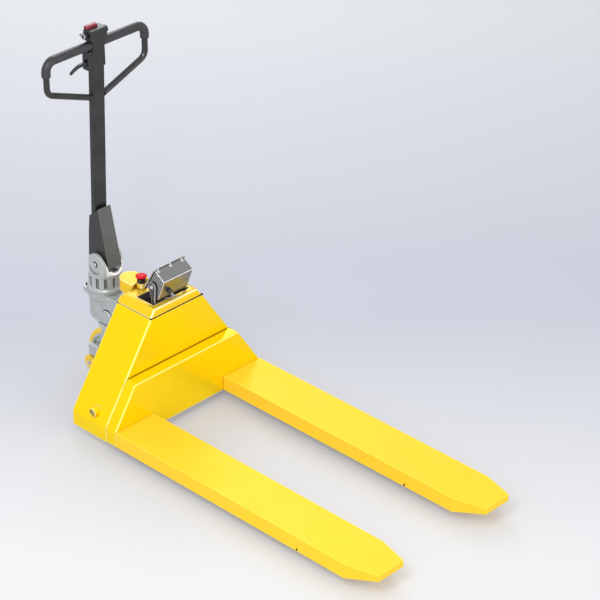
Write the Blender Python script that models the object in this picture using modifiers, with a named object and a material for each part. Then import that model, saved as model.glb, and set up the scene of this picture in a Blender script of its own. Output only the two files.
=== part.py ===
"""Electric pallet truck with weighing forks.

Metres. +X points towards the fork tips, +Y to the truck's left, +Z up. The origin is on the floor under the
middle of the truck's bounding box. The forks are lowered and the tiller stands upright.
"""

import math

import bmesh
import bpy
from mathutils import Matrix, Vector

# ---------------------------------------------------------------- driving dimensions
GAP = 0.0003                      # clearance between pieces that touch
SHEET = 0.005                     # chassis sheet

TIP_X = 0.8288                    # fork tips
FORK_LENGTH = 1.177
HEEL_X = TIP_X - FORK_LENGTH      # front face of the heel box
TRUCK_HALF_WIDTH = 0.340
FORK_WIDTH = 0.175
FORK_Y = TRUCK_HALF_WIDTH - FORK_WIDTH / 2
FORK_TOP_Z = 0.085
FORK_SKIRT_Z = 0.031
FORK_SHEET = 0.004
TAPER_LENGTH = 0.117
TIP_WIDTH = 0.113
TIP_THICKNESS = 0.022

LEDGE_DEPTH = 0.0455              # heel box, front to back
LEDGE_Z = 0.232
PANEL_X = HEEL_X - 0.046          # outer face of the upper front panel
REAR_X = HEEL_X - 0.215           # rear edge of the side plates
SHELL_BOTTOM_Z = 0.028
SLOPE_START_Z = FORK_TOP_Z
SEAM_Z = 0.416                    # joint between shell and top cover
SEAM_HALF_WIDTH = 0.120
COVER_TOP_Z = 0.445
SLOPE = (TRUCK_HALF_WIDTH - SEAM_HALF_WIDTH) / (SEAM_Z - SLOPE_START_Z)

STEER_X = HEEL_X - 0.412          # vertical steering axis
WHEEL_X = HEEL_X - 0.387          # drive wheel, a little ahead of it
WHEEL_RADIUS = 0.096
WHEEL_WIDTH = 0.060
PIVOT_X = HEEL_X - 0.405          # tiller hinge
PIVOT_Z = 0.457
STABILISER_X = HEEL_X - 0.447
STABILISER_Z = 0.050              # clear of the floor while the truck stands level
STABILISER_RADIUS = 0.0255
STABILISER_Y = 0.0525
STABILISER_WIDTH = 0.018

FLANGE_TOP_Z = 0.348
BASE_BOTTOM_Z = 0.228
BASE_HALF_WIDTH = 0.042

ARM_LEAN = math.radians(1.92)
ARM_DEPTH = 0.0235
ARM_WIDTH = 0.052
ARM_BOTTOM_Z = 0.482
ARM_TOP_Z = 1.2600
ARM_REFERENCE = (HEEL_X - 0.428, 0.660)   # a point on the arm's centre line: x, z

BAR_X = HEEL_X - 0.409            # handle loop's plane
BAR_Z = 1.276
BAR_RADIUS = 0.011
GRIP_RADIUS = 0.0158
LOOP_HALF_WIDTH = 0.2175

ROCKER_X = HEEL_X - 0.115
ROCKER_Z = 0.115
ROCKER_RADIUS = 0.0125

ROLLER_PIVOT_X = HEEL_X + 0.700
ROLLER_PIVOT_Z = 0.044
ROLLER_X = HEEL_X + 0.860
ROLLER_RADIUS = 0.040
ROLLER_WIDTH = 0.056
ROD_Z = 0.058
ROD_RADIUS = 0.005

BEAM_HALF_WIDTH = 0.060
BEAM_BOTTOM_Z = 0.033
BEAM_TOP_Z = 0.070
BEAM_SHEET = 0.003

CYLINDER_X = HEEL_X - 0.188       # lift cylinder inside the chassis
CROSSBAR_Z = 0.392

INDICATOR_TILT = math.radians(30)
BEZEL = Vector((HEEL_X - 0.106, 0.0, 0.530))
INDICATOR_PIVOT = (0.0264, -0.0137)       # in the indicator's own x, z

ESTOP = Vector((HEEL_X - 0.192, -0.028, COVER_TOP_Z))

SIDES = (("left", 1), ("right", -1))


# ---------------------------------------------------------------- scene, materials, bodies
def clear_scene():
    for obj in list(bpy.data.objects):
        bpy.data.objects.remove(obj, do_unlink=True)


clear_scene()
PARTS = bpy.data.collections.new("pallet_truck")
CUTTERS = bpy.data.collections.new("cutters")
bpy.context.scene.collection.children.link(PARTS)
bpy.context.scene.collection.children.link(CUTTERS)

PALETTE = {
    # name: (colour, roughness, metallic)
    "yellow_paint": ((0.93, 0.62, 0.005), 0.28, 0.0),
    "black_paint": ((0.035, 0.035, 0.035), 0.45, 0.0),
    "grey_foot_paint": ((0.13, 0.13, 0.125), 0.5, 0.0),
    "cast_grey": ((0.45, 0.48, 0.47), 0.5, 0.3),
    "steel": ((0.55, 0.55, 0.55), 0.35, 1.0),
    "rubber": ((0.045, 0.045, 0.047), 0.7, 0.0),
    "black_plastic": ((0.02, 0.02, 0.02), 0.5, 0.0),
    "dark_plastic": ((0.045, 0.04, 0.05), 0.6, 0.0),
    "yellow_urethane": ((0.85, 0.45, 0.02), 0.4, 0.0),
    "red_plastic": ((0.75, 0.03, 0.04), 0.35, 0.0),
    "stainless": ((0.42, 0.43, 0.41), 0.3, 0.9),
    "glass": ((0.03, 0.05, 0.04), 0.1, 0.0),
    "bronze": ((0.55, 0.38, 0.16), 0.4, 1.0),
    "cable_grey": ((0.6, 0.6, 0.58), 0.6, 0.0),
}


def make_material(name):
    colour, roughness, metallic = PALETTE[name]
    material = bpy.data.materials.new(name)
    material.use_nodes = True
    shader = material.node_tree.nodes["Principled BSDF"]
    shader.inputs["Base Color"].default_value = (*colour, 1.0)
    shader.inputs["Roughness"].default_value = roughness
    shader.inputs["Metallic"].default_value = metallic
    return material


MATERIALS = {name: make_material(name) for name in PALETTE}

# Each moving body hangs on an empty that stands on its joint's axis.
BODY_ORIGINS = {
    "drive_base": (None, (0.0, 0.0, 0.0)),
    "frame": ("drive_base", (CYLINDER_X, 0.0, 0.0)),
    "steering": ("drive_base", (STEER_X, 0.0, 0.0)),
    "drive_wheel": ("steering", (WHEEL_X, 0.0, WHEEL_RADIUS)),
    "stabiliser_left": ("steering", (STABILISER_X, STABILISER_Y, STABILISER_Z)),
    "stabiliser_right": ("steering", (STABILISER_X, -STABILISER_Y, STABILISER_Z)),
    "tiller": ("steering", (PIVOT_X, 0.0, PIVOT_Z)),
    "indicator": (
        "frame",
        (
            BEZEL.x + INDICATOR_PIVOT[0] * math.cos(INDICATOR_TILT) + INDICATOR_PIVOT[1] * math.sin(INDICATOR_TILT),
            0.0,
            BEZEL.z - INDICATOR_PIVOT[0] * math.sin(INDICATOR_TILT) + INDICATOR_PIVOT[1] * math.cos(INDICATOR_TILT),
        ),
    ),
    "estop": ("frame", tuple(ESTOP)),
    "rocker": ("frame", (ROCKER_X, 0.0, ROCKER_Z)),
}
for side_name, side_sign in SIDES:
    BODY_ORIGINS["roller_arm_" + side_name] = ("frame", (ROLLER_PIVOT_X, side_sign * FORK_Y, ROLLER_PIVOT_Z))
    BODY_ORIGINS["load_roller_" + side_name] = (
        "roller_arm_" + side_name,
        (ROLLER_X, side_sign * FORK_Y, ROLLER_RADIUS),
    )
    BODY_ORIGINS["push_rod_" + side_name] = ("frame", (ROCKER_X, side_sign * FORK_Y, ROD_Z))

THROTTLE = Vector((HEEL_X - 0.411, 0.0, 1.314))
LEVER = Vector((HEEL_X - 0.410, -0.039, 1.216))
HEAD_REAR_X = HEEL_X - 0.430      # operator side of the control housing
BELLY = Vector((HEEL_X - 0.4185, -0.010, 1.333))
HORN = Vector((HEAD_REAR_X, 0.008, 1.306))
LIFT = Vector((HEAD_REAR_X, -0.012, 1.306))
KEY = Vector((HEAD_REAR_X, 0.027, 1.306))
BODY_ORIGINS["throttle"] = ("tiller", tuple(THROTTLE))
BODY_ORIGINS["lever"] = ("tiller", tuple(LEVER))
BODY_ORIGINS["belly"] = ("tiller", tuple(BELLY))
BODY_ORIGINS["horn"] = ("tiller", tuple(HORN))
BODY_ORIGINS["lift_switch"] = ("tiller", tuple(LIFT))
BODY_ORIGINS["key"] = ("tiller", tuple(KEY))


def make_bodies():
    empties = {}
    for body, (parent, origin) in BODY_ORIGINS.items():
        empty = bpy.data.objects.new("body_" + body, None)
        empty.empty_display_size = 0.05
        PARTS.objects.link(empty)
        location = Vector(origin)
        if parent:
            empty.parent = empties[parent]
            location -= Vector(BODY_ORIGINS[parent][1])
        empty.location = location
        empties[body] = empty
    return empties


EMPTIES = make_bodies()


# ---------------------------------------------------------------- modelling helpers
TURN = {"X": (0.0, math.pi / 2, 0.0), "Y": (-math.pi / 2, 0.0, 0.0), "Z": (0.0, 0.0, 0.0)}
PLANE = {"XY": (0.0, 0.0, 0.0), "XZ": (math.pi / 2, 0.0, 0.0), "YZ": (math.pi / 2, 0.0, math.pi / 2)}


def object_from_bmesh(name, bm, location, rotation=(0.0, 0.0, 0.0)):
    bmesh.ops.recalc_face_normals(bm, faces=bm.faces)
    mesh = bpy.data.meshes.new(name)
    bm.to_mesh(mesh)
    bm.free()
    obj = bpy.data.objects.new(name, mesh)
    obj.location = location
    obj.rotation_euler = rotation
    CUTTERS.objects.link(obj)
    obj.hide_render = True
    obj.display_type = "WIRE"
    return obj


def box(name, size, centre, rotation=(0.0, 0.0, 0.0)):
    bm = bmesh.new()
    bmesh.ops.create_cube(bm, size=1.0)
    bmesh.ops.scale(bm, vec=size, verts=bm.verts)
    return object_from_bmesh(name, bm, centre, rotation)


def box_between(name, low, high):
    size = [b - a for a, b in zip(low, high)]
    centre = [(a + b) / 2 for a, b in zip(low, high)]
    return box(name, size, centre)


def cylinder(name, radius, length, axis, centre, segments=24, top_radius=None):
    bm = bmesh.new()
    bmesh.ops.create_cone(
        bm,
        cap_ends=True,
        segments=segments,
        radius1=radius,
        radius2=radius if top_radius is None else top_radius,
        depth=length,
    )
    return object_from_bmesh(name, bm, centre, TURN[axis])


def mesh_from_curve(curve_object):
    """The curve's evaluated mesh in an object of its own, with its caps welded."""
    bpy.context.view_layer.update()
    evaluated = curve_object.evaluated_get(bpy.context.evaluated_depsgraph_get())
    mesh = bpy.data.meshes.new_from_object(evaluated)
    bm = bmesh.new()
    bm.from_mesh(mesh)
    bmesh.ops.remove_doubles(bm, verts=bm.verts, dist=0.00001)
    bmesh.ops.recalc_face_normals(bm, faces=bm.faces)
    bm.to_mesh(mesh)
    bm.free()
    name = curve_object.name
    matrix = curve_object.matrix_world.copy()
    curve = curve_object.data
    bpy.data.objects.remove(curve_object, do_unlink=True)
    bpy.data.curves.remove(curve)
    obj = bpy.data.objects.new(name, mesh)
    obj.matrix_world = matrix
    CUTTERS.objects.link(obj)
    obj.hide_render = True
    obj.display_type = "WIRE"
    return obj


def plate(name, outline, thickness, plane, centre):
    """A flat outline with the given thickness, centred on its plane."""
    curve = bpy.data.curves.new(name, "CURVE")
    curve.dimensions = "2D"
    curve.fill_mode = "BOTH"
    curve.extrude = thickness / 2
    spline = curve.splines.new("POLY")
    spline.points.add(len(outline) - 1)
    for point, (u, v) in zip(spline.points, outline):
        point.co = (u, v, 0.0, 1.0)
    spline.use_cyclic_u = True
    obj = bpy.data.objects.new(name, curve)
    CUTTERS.objects.link(obj)
    obj.location = centre
    obj.rotation_euler = PLANE[plane]
    return mesh_from_curve(obj)


def tube(name, points, radius, resolution=3, cyclic=False):
    curve = bpy.data.curves.new(name, "CURVE")
    curve.dimensions = "3D"
    curve.bevel_depth = radius
    curve.bevel_resolution = resolution
    curve.use_fill_caps = not cyclic
    spline = curve.splines.new("POLY")
    spline.points.add(len(points) - 1)
    for point, position in zip(spline.points, points):
        point.co = (*position, 1.0)
    spline.use_cyclic_u = cyclic
    obj = bpy.data.objects.new(name, curve)
    CUTTERS.objects.link(obj)
    return mesh_from_curve(obj)


def turned(name, profile, axis, centre, steps=32, closed=False):
    """A profile of (radius, height) points, top to bottom down its outer side, turned round the axis."""
    bm = bmesh.new()
    verts = [bm.verts.new((radius, 0.0, height)) for radius, height in profile]
    pairs = list(zip(verts, verts[1:]))
    if closed:
        pairs.append((verts[-1], verts[0]))
    for first, second in pairs:
        bm.edges.new((first, second))
    mesh = bpy.data.meshes.new(name)
    bm.to_mesh(mesh)
    bm.free()
    obj = bpy.data.objects.new(name, mesh)
    obj.location = centre
    obj.rotation_euler = TURN[axis]
    CUTTERS.objects.link(obj)
    obj.hide_render = True
    obj.display_type = "WIRE"
    screw = obj.modifiers.new("turn", "SCREW")
    screw.axis = "Z"
    screw.steps = steps
    screw.render_steps = steps
    screw.use_merge_vertices = True
    screw.merge_threshold = 0.00001
    return obj


def arc(centre, radius, start_deg, end_deg, steps):
    """Points on an arc, both ends included."""
    points = []
    for step in range(steps + 1):
        angle = math.radians(start_deg + (end_deg - start_deg) * step / steps)
        points.append((centre[0] + radius * math.cos(angle), centre[1] + radius * math.sin(angle)))
    return points


def rounded(corners, steps=4):
    """An outline whose corners (u, v, radius) are rounded."""
    points = []
    count = len(corners)
    for index, (u, v, radius) in enumerate(corners):
        here = Vector((u, v))
        if radius == 0:
            points.append((u, v))
            continue
        before = Vector(corners[index - 1][:2]) - here
        after = Vector(corners[(index + 1) % count][:2]) - here
        before.normalize()
        after.normalize()
        half = before.angle(after) / 2
        reach = radius / math.tan(half)
        middle = here + (before + after).normalized() * (radius / math.sin(half))
        start = here + before * reach - middle
        end = here + after * reach - middle
        turn = start.angle_signed(end)
        for step in range(steps + 1):
            swing = Matrix.Rotation(-turn * step / steps, 2)
            points.append(tuple(middle + swing @ start))
    return points


def rectangle(half_u, half_v, radius, steps=4, centre=(0.0, 0.0)):
    u, v = centre
    corners = [
        (u - half_u, v - half_v, radius),
        (u + half_u, v - half_v, radius),
        (u + half_u, v + half_v, radius),
        (u - half_u, v + half_v, radius),
    ]
    return rounded(corners, steps)


def bevel(obj, width, segments=2, angle=35):
    modifier = obj.modifiers.new("bevel", "BEVEL")
    modifier.width = width
    modifier.segments = segments
    modifier.limit_method = "ANGLE"
    modifier.angle_limit = math.radians(angle)
    return obj


def boolean(obj, other, operation):
    modifier = obj.modifiers.new(operation.lower(), "BOOLEAN")
    modifier.operation = operation
    modifier.solver = "EXACT"
    modifier.object = other
    return obj


def cut(obj, *cutters):
    for cutter in cutters:
        boolean(obj, cutter, "DIFFERENCE")
    return obj


def join(obj, *others):
    for other in others:
        boolean(obj, other, "UNION")
    return obj


def finish(obj, material, body):
    """Makes the object a part: its material, its place in the tree, and smooth shading."""
    obj.data.materials.clear()
    obj.data.materials.append(MATERIALS[material])
    CUTTERS.objects.unlink(obj)
    PARTS.objects.link(obj)
    obj.hide_render = False
    obj.display_type = "TEXTURED"
    obj.parent = EMPTIES[body]
    obj.location = Vector(obj.location) - Vector(BODY_ORIGINS[body][1])
    obj.data.shade_smooth()
    obj.data.set_sharp_from_angle(angle=math.radians(35))
    return obj


def half_width_at(z):
    """Half the chassis's outer width at a height."""
    return TRUCK_HALF_WIDTH - SLOPE * max(0.0, z - SLOPE_START_Z)


def arm_point(z, forward=0.0):
    """The arm's centre line at a height, moved forward square to the arm."""
    x = ARM_REFERENCE[0] + (z - ARM_REFERENCE[1]) * math.tan(ARM_LEAN)
    return Vector((x + forward * math.cos(ARM_LEAN), 0.0, z - forward * math.sin(ARM_LEAN)))


# ---------------------------------------------------------------- chassis
def sloped_box(name, x_low, x_high, z_low, z_high, inset=0.0, open_faces=()):
    """A box whose sides follow the chassis: upright up to the fork tops and sloping inwards above."""
    bm = bmesh.new()
    bmesh.ops.create_cube(bm, size=1.0)
    for vert in bm.verts:
        vert.co.x = x_low if vert.co.x < 0 else x_high
        vert.co.z = z_low if vert.co.z < 0 else z_high
    if z_low < SLOPE_START_Z < z_high:
        geometry = bm.verts[:] + bm.edges[:] + bm.faces[:]
        bmesh.ops.bisect_plane(bm, geom=geometry, plane_co=(0, 0, SLOPE_START_Z), plane_no=(0, 0, 1))
    for vert in bm.verts:
        vert.co.y = math.copysign(half_width_at(vert.co.z) - inset, vert.co.y)
    bmesh.ops.recalc_face_normals(bm, faces=bm.faces)
    normals = {"rear": (-1, 0, 0), "bottom": (0, 0, -1), "top": (0, 0, 1)}
    open_ones = []
    for face in bm.faces:
        for which in open_faces:
            if face.normal.dot(Vector(normals[which])) > 0.95:
                open_ones.append(face)
    bmesh.ops.delete(bm, geom=open_ones, context="FACES")
    obj = object_from_bmesh(name, bm, (0.0, 0.0, 0.0))
    return obj


def solidify(obj, thickness):
    modifier = obj.modifiers.new("sheet", "SOLIDIFY")
    modifier.thickness = thickness
    modifier.offset = -1.0
    modifier.use_even_offset = True
    return obj


def rod_holes(name, x, length):
    return [
        cylinder(f"{name}_{side}", 0.011, length, "X", (x, sign * FORK_Y, ROD_Z), 16) for side, sign in SIDES
    ]


def chassis_shell():
    shell = sloped_box(
        "chassis_shell", REAR_X, PANEL_X, SHELL_BOTTOM_Z, SEAM_Z - GAP, open_faces=("rear", "bottom", "top")
    )
    bevel(shell, 0.010, 3, 20)
    solidify(shell, SHEET)
    holes = rod_holes("panel_rod_hole", PANEL_X, 0.06)
    for side, sign in SIDES:
        hole = cylinder("side_tube_hole_" + side, 0.0153, 0.12, "Y", (ROCKER_X, sign * 0.31, ROCKER_Z), 24)
        holes.append(hole)
    cut(shell, *holes)
    finish(shell, "yellow_paint", "frame")


def heel_box():
    heel = sloped_box(
        "heel_box", HEEL_X - LEDGE_DEPTH, HEEL_X, FORK_SKIRT_Z, LEDGE_Z, open_faces=("rear", "bottom")
    )
    bevel(heel, 0.007, 3, 20)
    solidify(heel, SHEET)
    cut(heel, *rod_holes("heel_rod_hole", HEEL_X, 0.06))
    finish(heel, "yellow_paint", "frame")


def shaft_bushings():
    for side, sign in SIDES:
        centre = (ROCKER_X, sign * 0.3135, ROCKER_Z)
        bushing = cylinder("shaft_bushing_" + side, 0.015, 0.053, "Y", centre, 24)
        bore = cylinder("bushing_bore_" + side, ROCKER_RADIUS + 0.0004, 0.08, "Y", centre, 24)
        cut(bushing, bore)
        finish(bushing, "yellow_paint", "frame")


RECESS_X = (HEEL_X - 0.157, HEEL_X - 0.0735)
RECESS_HALF_Y = 0.083


HUMP = Vector((HEEL_X - 0.2535, -0.0215))   # raised block with a round end, over the lift cylinder's ram
HUMP_RADIUS = 0.039
HUMP_BOTTOM_Z = 0.4155
HUMP_TOP_Z = 0.4595


def top_cover():
    front = PANEL_X - 0.001
    rear = REAR_X
    low = SEAM_Z - 0.014
    bm = bmesh.new()
    bmesh.ops.create_cube(bm, size=1.0)
    for vert in bm.verts:
        top = vert.co.z > 0
        vert.co.x = rear - 0.014 if vert.co.x < 0 else front - (0.004 if top else 0.0)
        vert.co.z = COVER_TOP_Z if top else low
        vert.co.y = math.copysign(half_width_at(vert.co.z), vert.co.y)
    cover = object_from_bmesh("top_cover", bm, (0.0, 0.0, 0.0))
    bevel(cover, 0.010, 3, 25)
    cover.modifiers.new("flat_faces", "TRIANGULATE")
    rear_outline = [
        (rear - 0.05, SEAM_Z - 0.03),
        (rear, SEAM_Z - 0.03),
        (rear, SEAM_Z),
        (rear + 0.0005, 0.4280),
        (rear + 0.0020, 0.4350),
        (rear + 0.0075, 0.4415),
        (rear + 0.0160, COVER_TOP_Z + 0.0001),
        (rear + 0.0160, COVER_TOP_Z + 0.03),
        (rear - 0.05, COVER_TOP_Z + 0.03),
    ]
    round_rear = plate("cover_rear_cut", rear_outline, 0.4, "XZ", (0.0, 0.0, 0.0))
    straight_seam = box_between("cover_seam_cut", (rear - 0.05, -0.2, 0.38), (front + 0.05, 0.2, SEAM_Z))
    cut(cover, round_rear, straight_seam)
    hump_outline = arc((HUMP.x, HUMP.y), HUMP_RADIUS, 90, 270, 16) + [
        (rear + 0.0085, HUMP.y - HUMP_RADIUS),
        (rear + 0.0085, HUMP.y + HUMP_RADIUS),
    ]
    hump_height = HUMP_TOP_Z - HUMP_BOTTOM_Z
    hump_middle = (HUMP_TOP_Z + HUMP_BOTTOM_Z) / 2
    hump = plate("cover_hump", hump_outline, hump_height, "XY", (0.0, 0.0, hump_middle))
    bevel(hump, 0.003, 2, 40)
    root = box_between(
        "hump_root",
        (rear - 0.020, HUMP.y - HUMP_RADIUS + 0.0002, HUMP_BOTTOM_Z + 0.0015),
        (rear + 0.022, HUMP.y + HUMP_RADIUS - 0.0002, COVER_TOP_Z - 0.0006),
    )
    boss = cylinder("estop_boss", 0.0168, 0.030, "Z", (ESTOP.x, ESTOP.y, COVER_TOP_Z + 0.0062), 28)
    join(cover, hump, root, boss)
    hollow = box_between(
        "cover_hollow",
        (rear + 0.021, -0.088, SEAM_Z - 0.02),
        (front - 0.010, 0.088, COVER_TOP_Z - 0.004),
    )
    recess = box_between(
        "cover_recess",
        (RECESS_X[0], -RECESS_HALF_Y, COVER_TOP_Z - 0.02),
        (RECESS_X[1], RECESS_HALF_Y, COVER_TOP_Z + 0.02),
    )
    bevel(recess, 0.003, 2)
    stop_hole = cylinder("estop_hole", 0.0113, 0.08, "Z", (ESTOP.x, ESTOP.y, COVER_TOP_Z), 20)
    cut(cover, hollow, recess, stop_hole)
    finish(cover, "yellow_paint", "frame")


TRAY_FLOOR_Z = 0.405
CABLE_HOLES = ((HEEL_X - 0.084, -0.022), (HEEL_X - 0.084, 0.006))


def recess_tray():
    tray = box_between(
        "recess_tray",
        (RECESS_X[0] + GAP, -RECESS_HALF_Y + GAP, TRAY_FLOOR_Z),
        (RECESS_X[1] - GAP, RECESS_HALF_Y - GAP, COVER_TOP_Z + 0.009),
    )
    bevel(tray, 0.003, 2)
    above_rim = box_between(
        "tray_above_rim",
        (RECESS_X[0] - 0.01, -RECESS_HALF_Y - 0.01, COVER_TOP_Z - 0.001),
        (RECESS_X[1] + 0.01, RECESS_HALF_Y + 0.01, COVER_TOP_Z + 0.03),
    )
    inside = box_between(
        "tray_inside",
        (RECESS_X[0] + 0.002, -RECESS_HALF_Y + 0.002, TRAY_FLOOR_Z + 0.002),
        (RECESS_X[1] - 0.002, RECESS_HALF_Y - 0.002, COVER_TOP_Z + 0.02),
    )
    cut(tray, above_rim, inside)
    for index, (x, y) in enumerate(CABLE_HOLES):
        cut(tray, cylinder(f"tray_cable_hole_{index}", 0.0026, 0.02, "Z", (x, y, TRAY_FLOOR_Z), 12))
    finish(tray, "dark_plastic", "frame")


def lift_crossbar():
    low = (REAR_X + 0.003, -half_width_at(CROSSBAR_Z + 0.008) + SHEET * 1.2 + 0.001, CROSSBAR_Z)
    high = (REAR_X + 0.047, -low[1], CROSSBAR_Z + 0.008)
    crossbar = box_between("lift_crossbar", low, high)
    finish(crossbar, "steel", "frame")


def inner_equipment():
    battery = box_between("battery_pack", (HEEL_X - 0.200, 0.078, 0.146), (HEEL_X - 0.060, 0.190, 0.262))
    bevel(battery, 0.006, 2)
    finish(battery, "black_plastic", "frame")
    motor = cylinder("pump_motor", 0.040, 0.120, "Y", (HEEL_X - 0.135, -0.140, 0.205), 32)
    bevel(motor, 0.004, 2)
    tank = box_between("oil_tank", (HEEL_X - 0.185, -0.195, 0.208), (HEEL_X - 0.085, -0.100, 0.272))
    bevel(tank, 0.006, 2)
    join(motor, tank)
    finish(motor, "black_paint", "frame")


# ---------------------------------------------------------------- forks
def fork_outline(inset, back, tip_inset):
    """Half-symmetric top view of a fork, local to the fork's centre line."""
    half = FORK_WIDTH / 2 - inset
    tip_half = TIP_WIDTH / 2 - inset
    shoulder = TIP_X - TAPER_LENGTH
    return rounded(
        [
            (back, -half, 0),
            (shoulder, -half, 0.015),
            (TIP_X - tip_inset, -tip_half, 0.004),
            (TIP_X - tip_inset, tip_half, 0.004),
            (shoulder, half, 0.015),
            (back, half, 0),
        ],
        2,
    )


def fork_shell(side, sign):
    height = FORK_TOP_Z - FORK_SKIRT_Z
    middle = (FORK_TOP_Z + FORK_SKIRT_Z) / 2
    centre = (0.0, sign * FORK_Y, middle)
    shell = plate("fork_shell_" + side, fork_outline(0.0, HEEL_X + GAP, 0.0), height, "XY", centre)
    nose_cut = plate(
        "fork_nose_cut_" + side,
        [
            (TIP_X - TAPER_LENGTH - 0.010, FORK_SKIRT_Z - 0.001),
            (TIP_X + 0.01, FORK_TOP_Z - TIP_THICKNESS + 0.002),
            (TIP_X + 0.01, FORK_SKIRT_Z - 0.02),
            (TIP_X - TAPER_LENGTH - 0.010, FORK_SKIRT_Z - 0.02),
        ],
        FORK_WIDTH + 0.02,
        "XZ",
        (0.0, sign * FORK_Y, 0.0),
    )
    cut(shell, nose_cut)
    bevel(shell, 0.004, 2, 40)
    hollow_height = height - FORK_SHEET + 0.02
    hollow_centre = (0.0, sign * FORK_Y, FORK_TOP_Z - FORK_SHEET - hollow_height / 2)
    hollow = plate(
        "fork_hollow_" + side, fork_outline(FORK_SHEET, HEEL_X - 0.02, 0.050), hollow_height, "XY", hollow_centre
    )
    cut(shell, hollow)
    finish(shell, "yellow_paint", "frame")


def fork_beam(side, sign):
    low = (HEEL_X + 0.001, sign * FORK_Y - BEAM_HALF_WIDTH, BEAM_BOTTOM_Z)
    high = (HEEL_X + 1.030, sign * FORK_Y + BEAM_HALF_WIDTH, BEAM_TOP_Z)
    beam = box_between("fork_beam_" + side, low, high)
    channel = box_between(
        "beam_channel_" + side,
        (low[0] - 0.01, low[1] + BEAM_SHEET, low[2] - 0.01),
        (high[0] + 0.01, high[1] - BEAM_SHEET, high[2] - BEAM_SHEET),
    )
    slot = box_between(
        "beam_slot_" + side,
        (ROLLER_X - 0.046, sign * FORK_Y - 0.036, BEAM_TOP_Z - 0.02),
        (ROLLER_X + 0.046, sign * FORK_Y + 0.036, BEAM_TOP_Z + 0.02),
    )
    pin_hole = cylinder(
        "beam_pin_hole_" + side, 0.0064, 0.2, "Y", (ROLLER_PIVOT_X, sign * FORK_Y, ROLLER_PIVOT_Z), 16
    )
    cut(beam, channel, slot, pin_hole)
    finish(beam, "steel", "frame")


def load_cells(side, sign):
    for place, x in (("rear", HEEL_X + 0.120), ("front", HEEL_X + 0.620)):
        cell = box_between(
            f"load_cell_{place}_{side}",
            (x, sign * FORK_Y - 0.016, BEAM_TOP_Z + GAP),
            (x + 0.130, sign * FORK_Y + 0.016, FORK_TOP_Z - FORK_SHEET - GAP),
        )
        finish(cell, "stainless", "frame")


def roller_arm(side, sign):
    y = sign * FORK_Y
    pivot = (ROLLER_PIVOT_X, ROLLER_PIVOT_Z)
    axle = (ROLLER_X, ROLLER_RADIUS)
    outline = arc(pivot, 0.011, 95, 265, 6) + arc(axle, 0.014, -95, 95, 6)
    name = "roller_arm_" + side
    arm = plate(name, outline, 0.006, "XZ", (0.0, y + 0.036, 0.0))
    arm.name = name
    other = plate("arm_plate_" + side, outline, 0.006, "XZ", (0.0, y - 0.036, 0.0))
    cross = cylinder("arm_cross_" + side, 0.0085, 0.076, "Y", (pivot[0], y, pivot[1]), 16)
    pin = cylinder("arm_pin_" + side, 0.006, 0.118, "Y", (pivot[0], y, pivot[1]), 16)
    axle_pin = cylinder("arm_axle_" + side, 0.008, 0.074, "Y", (axle[0], y, axle[1]), 16)
    lug = plate(
        "arm_lug_" + side,
        arc((pivot[0], ROD_Z), 0.006, 0, 180, 6) + [(pivot[0] - 0.006, pivot[1]), (pivot[0] + 0.006, pivot[1])],
        0.008,
        "XZ",
        (0.0, y, 0.0),
    )
    join(arm, other, cross, pin, axle_pin, lug)
    finish(arm, "steel", "roller_arm_" + side)


def load_roller(side, sign):
    half = ROLLER_WIDTH / 2
    profile = [
        (ROLLER_RADIUS - 0.003, half),
        (ROLLER_RADIUS, half - 0.003),
        (ROLLER_RADIUS, -half + 0.003),
        (ROLLER_RADIUS - 0.003, -half),
        (0.0085, -half),
        (0.0085, half),
    ]
    centre = (ROLLER_X, sign * FORK_Y, ROLLER_RADIUS)
    roller = turned("load_roller_" + side, profile, "Y", centre, 32, closed=True)
    finish(roller, "yellow_urethane", "load_roller_" + side)


def push_rod(side, sign):
    rear = ROCKER_X + 0.011
    front = ROLLER_PIVOT_X - 0.0105
    length = front - rear
    rod = cylinder("push_rod_" + side, ROD_RADIUS, length, "X", (rear + length / 2, sign * FORK_Y, ROD_Z), 16)
    finish(rod, "steel", "push_rod_" + side)


def rocker_shaft():
    shaft = cylinder("rocker_shaft", ROCKER_RADIUS, 2 * 0.334, "Y", (ROCKER_X, 0.0, ROCKER_Z), 24)
    for side, sign in SIDES:
        outline = arc((ROCKER_X, ROCKER_Z), 0.019, -10, 190, 8) + arc((ROCKER_X, ROD_Z), 0.0085, 190, 350, 6)
        crank = plate("crank_" + side, outline, 0.010, "XZ", (0.0, sign * FORK_Y, 0.0))
        join(shaft, crank)
    finish(shaft, "steel", "rocker")


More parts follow.
